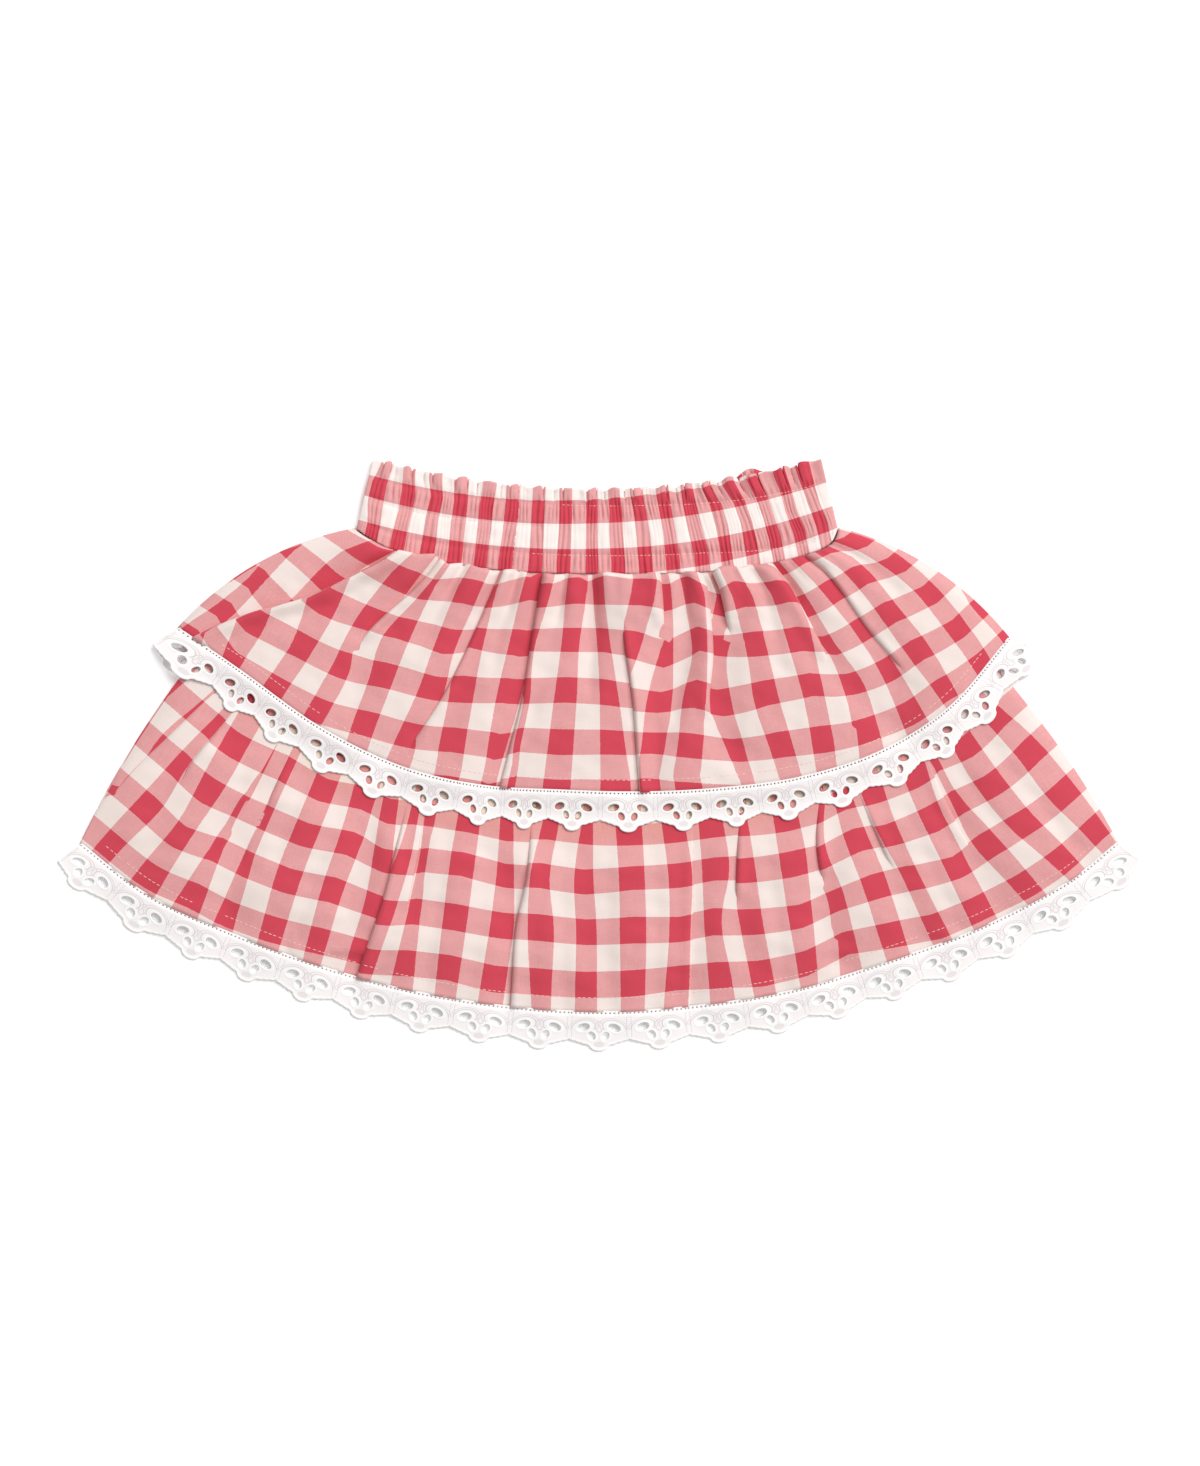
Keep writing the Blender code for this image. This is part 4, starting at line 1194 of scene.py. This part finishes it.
def lace_tile():
    """One scallop's mesh in its own plane: points, faces and how far each point stands up."""
    half = TILE / 2
    xs = np.linspace(-half, half, 61)
    edge = [(x, float(scallop_depth(x))) for x in xs[::-1]]
    left = [(-half, y) for y in np.linspace(edge[-1][1], 0, 9)[1:]]
    top = [(x, 0.0) for x in xs[::2][1:]]
    right = [(half, y) for y in np.linspace(0, edge[0][1], 9)[1:-1]]
    outline = edge + left + top + right
    points = [Vector(p) for p in outline]
    raised = [0.0] * len(points)
    rings = [list(range(len(outline)))]
    holes = []

    def loop(p, height, is_hole):
        start = len(points)
        points.extend(Vector(q) for q in p)
        raised.extend([height] * len(p))
        ring = list(range(start, start + len(p)))
        rings.append(ring)
        if is_hole:
            holes.append(p)

    for x, y, long, short, tilt in EYELETS:
        loop(oval(x, y, long, short, tilt, 20), 0.0, True)
        loop(oval(x, y, long + 1.0, short + 1.0, tilt, 20), 0.10, False)
        loop(oval(x, y, long + 2.2, short + 2.2, tilt, 20), 0.0, False)
    for x, y in LADDER:
        loop(oval(x, y, 0.8, 0.75, 0, 6), 0.0, True)
    extra = [((x, float(scallop_depth(x)) - 0.8), 0.08) for x in xs[1:-1]]
    extra += [((x, float(scallop_depth(x)) - 1.7), 0.0) for x in xs[1:-1]]
    gx, gy = np.meshgrid(np.arange(-13.6, 13.7, 1.6), np.arange(3.2, 19.5, 1.6))
    for x, y in zip(gx.ravel(), gy.ravel()):
        if y > scallop_depth(x) - 2.4:
            continue
        if any(((x - ex) / (l / 2 + 1.4)) ** 2 + ((y - ey) / (s / 2 + 1.6)) ** 2 < 1 for ex, ey, l, s, _ in EYELETS):
            continue
        extra.append(((x, y), 0.0))
    for p, h in extra:
        points.append(Vector(p))
        raised.append(h)
    verts, _, faces, orig, _, _ = delaunay_2d_cdt(points, [], rings, 1, 1e-4)
    pts = np.array([tuple(v) for v in verts])
    high = np.array([max((raised[i] for i in o), default=0.0) for o in orig])
    keep = []
    for f in faces:
        c = pts[list(f)].mean(0)
        inside = False
        for h in holes:
            if ((h[:, 0].min() < c[0] < h[:, 0].max()) and (h[:, 1].min() < c[1] < h[:, 1].max())):
                hx, hy = h[:, 0], h[:, 1]
                nx, ny = np.roll(hx, -1), np.roll(hy, -1)
                cross = ((hy > c[1]) != (ny > c[1])) & (c[0] < (nx - hx) * (c[1] - hy) / (ny - hy + 1e-12) + hx)
                if cross.sum() % 2:
                    inside = True
        if not inside and len(f) == 3:
            keep.append(tuple(f))
    return pts, np.array(keep), high


tile_points, tile_faces, tile_high = lace_tile()


def lace_strip(name, edge, count, flare, height, tips=None):
    """Scallops side by side beyond a hem. height(f, y) gives the lace's middle."""
    pts, faces, raised, inside = [], [], [], []
    tips = (np.arange(count) + 0.5) / count if tips is None else np.array(tips) / 1000
    between = np.concatenate([[0.0], (tips[1:] + tips[:-1]) / 2, [1.0]])
    for i in range(count):
        t = tile_points[:, 0] / TILE + 0.5
        x = np.interp(t, [0, 0.5, 1], [between[i], tips[i], between[i + 1]])
        pts.append(np.stack([x, tile_points[:, 1]], 1))
        faces.append(tile_faces + i * len(tile_points))
        raised.append(tile_high)
        inside.append(t + i)
    inside = np.concatenate(inside)
    p, faces, raised = np.concatenate(pts), np.concatenate(faces), np.concatenate(raised)
    f, y = p[:, 0], p[:, 1]
    a = edge.at(np.clip(f, 0, 1))
    t = edge.at(np.clip(f + 0.004, 0, 1)) - edge.at(np.clip(f - 0.004, 0, 1))
    t /= np.linalg.norm(t, axis=-1)[:, None]
    out = np.stack([t[:, 1], -t[:, 0]], -1)
    deep = y / LACE_DEEP
    spread = deep * flare * (smooth(f, 0.9, 1.0) - smooth(1 - f, 0.9, 1.0))
    xy = a + out * (y - 0.6)[:, None] + t * spread[:, None]
    z = height(f, y) + raised
    key = np.round(np.stack([xy[:, 0], xy[:, 1]], 1), 3)
    _, first, back = np.unique(key, axis=0, return_index=True, return_inverse=True)
    flat = faces
    xy, z, f = xy[first], z[first], f[first]
    faces = back.ravel()[faces]
    normal_up = faces[:, ::-1]
    a3 = xy[normal_up]
    area = ((a3[:, 1, 0] - a3[:, 0, 0]) * (a3[:, 2, 1] - a3[:, 0, 1]) - (a3[:, 1, 1] - a3[:, 0, 1]) * (a3[:, 2, 0] - a3[:, 0, 0]))
    flat = np.where((area < 0)[:, None], flat, flat[:, ::-1])
    normal_up = np.where((area < 0)[:, None], normal_up[:, ::-1], normal_up)
    uv = np.stack([inside, y], 1)[flat.ravel()]
    obj = mesh_object(name, place(xy, z), normal_up, uv, lace_white, 0.3)
    return obj


def hem_height(laid, z):
    """Height of a laid row's visible top along its share f, evened a little."""
    row_f, row_z = laid.f[-1], z[-1]
    grid = np.linspace(0, 1, 241)
    order = np.argsort(row_f, kind="stable")
    line = np.interp(grid, row_f[order], row_z[order])
    kernel = np.exp(-np.linspace(-2, 2, 9) ** 2)
    line = np.convolve(np.pad(line, 4, mode="edge"), kernel / kernel.sum(), mode="valid")
    return lambda f: np.interp(f, grid, line)


hem1 = hem_height(front1, zf1)
hem2 = hem_height(front2, zf2)

lace1_front = lace_strip("lace_upper_front", EDGE1, len(TIPS1), FLARE1,
                         lambda f, y: hem1(f) + 0.35 + (np.minimum(6.45, hem1(f)) - hem1(f)) * smooth(y, -1, 15), TIPS1)
lace1_back = lace_strip("lace_upper_back", EDGE1, SCALLOPS1, FLARE1, lambda f, y: np.full_like(f, 0.3))
lace2_front = lace_strip("lace_lower_front", EDGE2, SCALLOPS2, FLARE2,
                         lambda f, y: 1.0 + (hem2(f) + 0.35 - 1.0) * (1 - smooth(y, -4, 22)))
lace2_back = lace_strip("lace_lower_back", EDGE2, SCALLOPS2, FLARE2, lambda f, y: np.full_like(f, 0.3))
for piece, node in ((lace1_front, "lace1_front"), (lace1_back, "lace1_back"), (lace2_front, "lace2_front"),
                    (lace2_back, "lace2_back")):
    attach(piece, "root")
    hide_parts(node)

# ------------------------------------------------------------------ waistband

# share of the width where each red column of checks runs, at four heights of the band, left to right
BAND_COLUMNS = [
    # 0.14   0.44   0.72   0.95
    (0.032, 0.025, 0.024, 0.031),
    (0.088, 0.093, 0.090, 0.082),
    (0.152, 0.148, 0.153, 0.142),
    (0.208, 0.206, 0.205, 0.199),
    (0.262, 0.263, 0.261, 0.265),
    (0.311, 0.314, 0.317, 0.314),
    (0.375, 0.374, 0.373, 0.373),
    (0.432, 0.433, 0.433, 0.432),
    (0.490, 0.489, 0.489, 0.489),
    (0.543, 0.540, 0.541, 0.537),
    (0.601, 0.599, 0.593, 0.586),
    (0.655, 0.654, 0.649, 0.645),
    (0.717, 0.707, 0.701, 0.700),
    (0.766, 0.766, 0.758, 0.739),
    (0.819, 0.816, 0.807, 0.788),
    (0.869, 0.863, 0.855, 0.843),
    (0.922, 0.913, 0.912, 0.906),
    (0.970, 0.963, 0.957, 0.953),
    (1.018, 1.013, 1.022, 1.030),
]
BAND_AT = (0.14, 0.44, 0.72, 0.95)
# the lines between the rows of checks, by share of the width
BAND_LINES = [
    ((0.0, 0.13), (0.15, 0.20), (0.33, 0.26), (0.5, 0.30), (0.72, 0.31), (1.0, 0.33)),
    ((0.0, 0.49), (0.165, 0.53), (0.33, 0.57), (0.5, 0.61), (0.72, 0.64), (1.0, 0.68)),
    ((0.0, 0.79), (0.157, 0.82), (0.33, 0.85), (0.5, 0.89), (0.64, 0.93), (0.78, 0.95), (0.84, 0.96), (0.9, 1.03), (1.0, 1.10)),
]


# the two tables above are charted between two even arcs; the band's own lower edge is the waist seam
CHART = arc(120.3, 22.3, 92.2)


def on_chart(f, v):
    """The chart's own shares for places on the band."""
    p = band_plan(f, v)
    g, w = f, v
    for _ in range(8):
        a, b = CHART.at(g), TOP.at(g)
        d = b - a
        w = ((p - a) * d).sum(-1) / (d * d).sum(-1)
        off = p - (a + d * w[..., None])
        t = (CHART.at(np.clip(g + 0.01, 0, 1)) - CHART.at(np.clip(g - 0.01, 0, 1))) / 0.02
        g = np.clip(g + (off * t).sum(-1) / np.maximum((t * t).sum(-1), 1e-6), 0.0, 1.0)
    return g, w


def band_checks(f, v):
    """Column and row of checks on the band."""
    f, v = on_chart(f, v)
    tops = np.array([np.interp(v, BAND_AT, c) for c in BAND_COLUMNS])          # one for each column and point
    u = np.zeros_like(f)
    n = len(BAND_COLUMNS)
    flat_f, flat_t = f.ravel(), tops.reshape(n, -1)
    out = np.empty_like(flat_f)
    for i in range(flat_f.size):
        line = flat_t[:, i]
        line = np.concatenate([[2 * line[0] - line[1]], line, [2 * line[-1] - line[-2]]])
        out[i] = np.interp(flat_f[i], line, 2.0 * np.arange(-1, n + 1))
    u = out.reshape(f.shape)
    a, b, c = (np.interp(f, *zip(*line)) for line in BAND_LINES)
    r = np.where(v < a, 2 - (a - v) / 0.32, np.where(v < b, 2 + (v - a) / (b - a), np.where(v < c, 3 + (v - b) / (c - b), 4 + (v - c) / 0.32)))
    return u, r


def band_surface(rows, cols, front=True):
    v, f = np.meshgrid(rows_between(1.0, 0.0, rows), np.linspace(0, 1, cols), indexing="ij")
    u, r = band_checks(f, v)
    if not front:
        return v, f, u, r, None
    inner = smooth(np.minimum(f, 1 - f), 0.0, 0.03)
    pinch = np.zeros_like(f)
    for line, half in STITCH_LINES:
        at = np.interp(f, *zip(*line))
        pinch = np.maximum(pinch, np.exp(-((v - at) / half) ** 2) * (f <= line[-1][0] + 0.02) * (f >= line[0][0] - 0.02))
    above = smooth(v, np.interp(f, *zip(*HEADING_LINE)), np.interp(f, *zip(*HEADING_LINE)) + 0.12)
    turns = u * 3.0 + 0.45 * np.sin(u * 2.3 + 1.0) + 0.18 * np.sin(v * 6 + u * 1.9)
    fine = np.sin(2 * math.pi * turns) * (0.75 + 0.35 * np.sin(u * 5.1 + v * 3))
    wide = np.sin(math.pi * (u + 0.5) + 0.6 * np.sin(u * 1.3))
    white = 0.5 - 0.5 * np.cos(math.pi * u)
    z = z_band_front(f, v) + 1.3
    calm = 1 - 0.9 * np.sqrt(white) * smooth(0.5 + 0.5 * np.cos(math.pi * (r - 0.5)), 0.0, 0.4)
    tab = np.abs(np.sin(math.pi * (u * 0.9 + 0.35 * np.sin(u * 1.9) + 0.3)))
    gap = np.exp(-(tab / 0.22) ** 2)
    z += inner * (1 - above) * (0.66 * fine * calm * (1 - 0.15 * pinch) + 0.35 * white * (1 - pinch) - 0.75 * pinch)
    z += inner * above * (0.9 * wide + 0.12 * fine - 1.7 * gap)
    z += 0.2 * waves(f * 240, v * 41, (7, 12), 3) * inner
    return v, f, u, r, z


# the rows of stitches, by share of the width and height, and the half height of the pinch they make
HEADING_LINE = ((0.0, 0.78), (0.157, 0.81), (0.33, 0.84), (0.431, 0.83), (0.593, 0.82), (0.8, 0.77), (0.907, 0.75), (1.0, 0.73))
LINE_LOW = ((0.0, 0.16), (0.15, 0.20), (0.33, 0.23), (0.5, 0.22), (0.714, 0.22), (0.828, 0.17), (1.0, 0.08))
LINE_MIDDLE = ((0.0, 0.49), (0.186, 0.54), (0.262, 0.55), (0.36, 0.56))
STITCH_LINES = ((HEADING_LINE, 0.045), (LINE_LOW, 0.04), (LINE_MIDDLE, 0.035))


def band_mesh():
    rows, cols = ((38, 580))
    v, f, u, r, z = band_surface(rows, cols)
    uneven = 0.05 * np.sin(2 * math.pi * (u * 2.7 + 0.45 * np.sin(u * 2.3 + 1.0)) + 1.0)
    tab = np.abs(np.sin(math.pi * (u * 0.9 + 0.35 * np.sin(u * 1.9) + 0.3)))
    top = 1.03 + 0.012 * np.sin(math.pi * u * 1.0 + 0.7) + 0.010 * np.sin(u * 4.3) - 0.05 * np.exp(-(tab / 0.2) ** 2)
    reach = v * (1 + (top - 1) * smooth(v, 0.8, 1.0))
    vb, fb = np.meshgrid(rows_between(1.0, 0.0, rows), np.linspace(1, 0, 380), indexing="ij")
    ub, rb = band_checks(1 - fb, vb)
    ub, rb = ub + 1.0, rb + 1.0
    stands = vb * (1 + 0.10 * np.exp(-((fb - 0.842) / 0.028) ** 2) * smooth(vb, 0.8, 1.0))
    zb = 0.3 + 2.25 * (0.5 + 0.5 * np.sin(2 * math.pi * (ub * 1.8 + 0.3 * np.sin(ub * 1.9)))) * (0.85 + 0.15 * np.sin(vb * 5))
    fp, bp = place(band_plan(f, reach), z), place(band_plan(fb, stands), zb)
    points = np.concatenate([fp, bp], 1)
    shown = u + uneven
    u = np.concatenate([shown, shown[:, -1:] + ub, shown[:, -1:] + ub[:, -1:] + 0.5], 1)
    r = np.concatenate([r, rb, rb[:, -1:]], 1)
    rr, cc, faces = grid_faces(rows, points.shape[1], wrap=True)
    uvs = np.stack([u[rr, cc], r[rr, cc]], -1)
    return mesh_object("waistband", points.reshape(-1, 3), faces, uvs.reshape(-1, 2), band_cotton, 0.5)


band = band_mesh()
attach(band, "root")


def band_stitches():
    v, f, u, r, z = band_surface(90, 580)
    runs = []
    for line, lo, hi in ((HEADING_LINE, 0.42, 0.985), (LINE_MIDDLE, 0.015, 0.27), (LINE_LOW, 0.36, 0.94)):
        path = []
        for c in range(v.shape[1]):
            if not lo <= f[0, c] <= hi:
                continue
            at = np.interp(f[0, c], *zip(*line))
            height = np.interp(-at, -v[:, c], z[:, c])
            spot = band_plan(np.array([f[0, c]]), np.array([at]))[0]
            path.append((spot[0], spot[1], height + 0.27))
        runs.append(path)
    return dashes(runs, 1.5, 2.3, 0.36, 0.18)


stitched("band_stitches", *band_stitches())
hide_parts("waistband_front", "waistband_back")

# ------------------------------------------------------------- hidden layers
for node, mat in (("yoke_front", lining), ("yoke_back", lining), ("shorts_front_left", jersey),
                  ("shorts_front_right", jersey), ("shorts_back_left", jersey), ("shorts_back_right", jersey)):
    obj = bpy.data.objects.get(node)
    for s in obj.material_slots:
        s.material = mat

# ------------------------------------------------------- floor, light, camera
floor_mesh = bpy.data.meshes.new("floor")
floor_mesh.from_pydata([(-3, -3, 0), (3, -3, 0), (3, 3, 0), (-3, 3, 0)], [], [(0, 1, 2, 3)])
floor = bpy.data.objects.new("floor", floor_mesh)
bpy.context.scene.collection.objects.link(floor)
ground = Nodes("floor_white")
ground.set(Roughness=0.9, Specular_IOR_Level=0.1, Emission_Color=(1, 1, 1, 1), Emission_Strength=0.22)
ground.shader.inputs["Base Color"].default_value = (0.94, 0.94, 0.94, 1)
floor_mesh.materials.append(ground.mat)

scene = bpy.context.scene
scene.view_settings.view_transform = "Standard"
world = bpy.data.worlds.new("studio")
world.use_nodes = True
world.node_tree.nodes["Background"].inputs[0].default_value = (1.0, 0.995, 0.99, 1)
world.node_tree.nodes["Background"].inputs[1].default_value = 0.43
scene.world = world


sun = bpy.data.lights.new("key", "SUN")
sun.energy = 2.45
sun.angle = math.radians(38)
lamp = bpy.data.objects.new("key", sun)
lamp.rotation_euler = Vector((-0.75, -0.7, -1.3)).to_track_quat("-Z", "Y").to_euler()
scene.collection.objects.link(lamp)

cam_data = bpy.data.cameras.new("camera")
cam_data.sensor_width = 36.0
cam_data.lens = 108.0
cam_data.clip_start = 0.1
cam = bpy.data.objects.new("camera", cam_data)
cam.location = (0.0004, 0.0122, 2.2055)
scene.collection.objects.link(cam)
scene.camera = cam
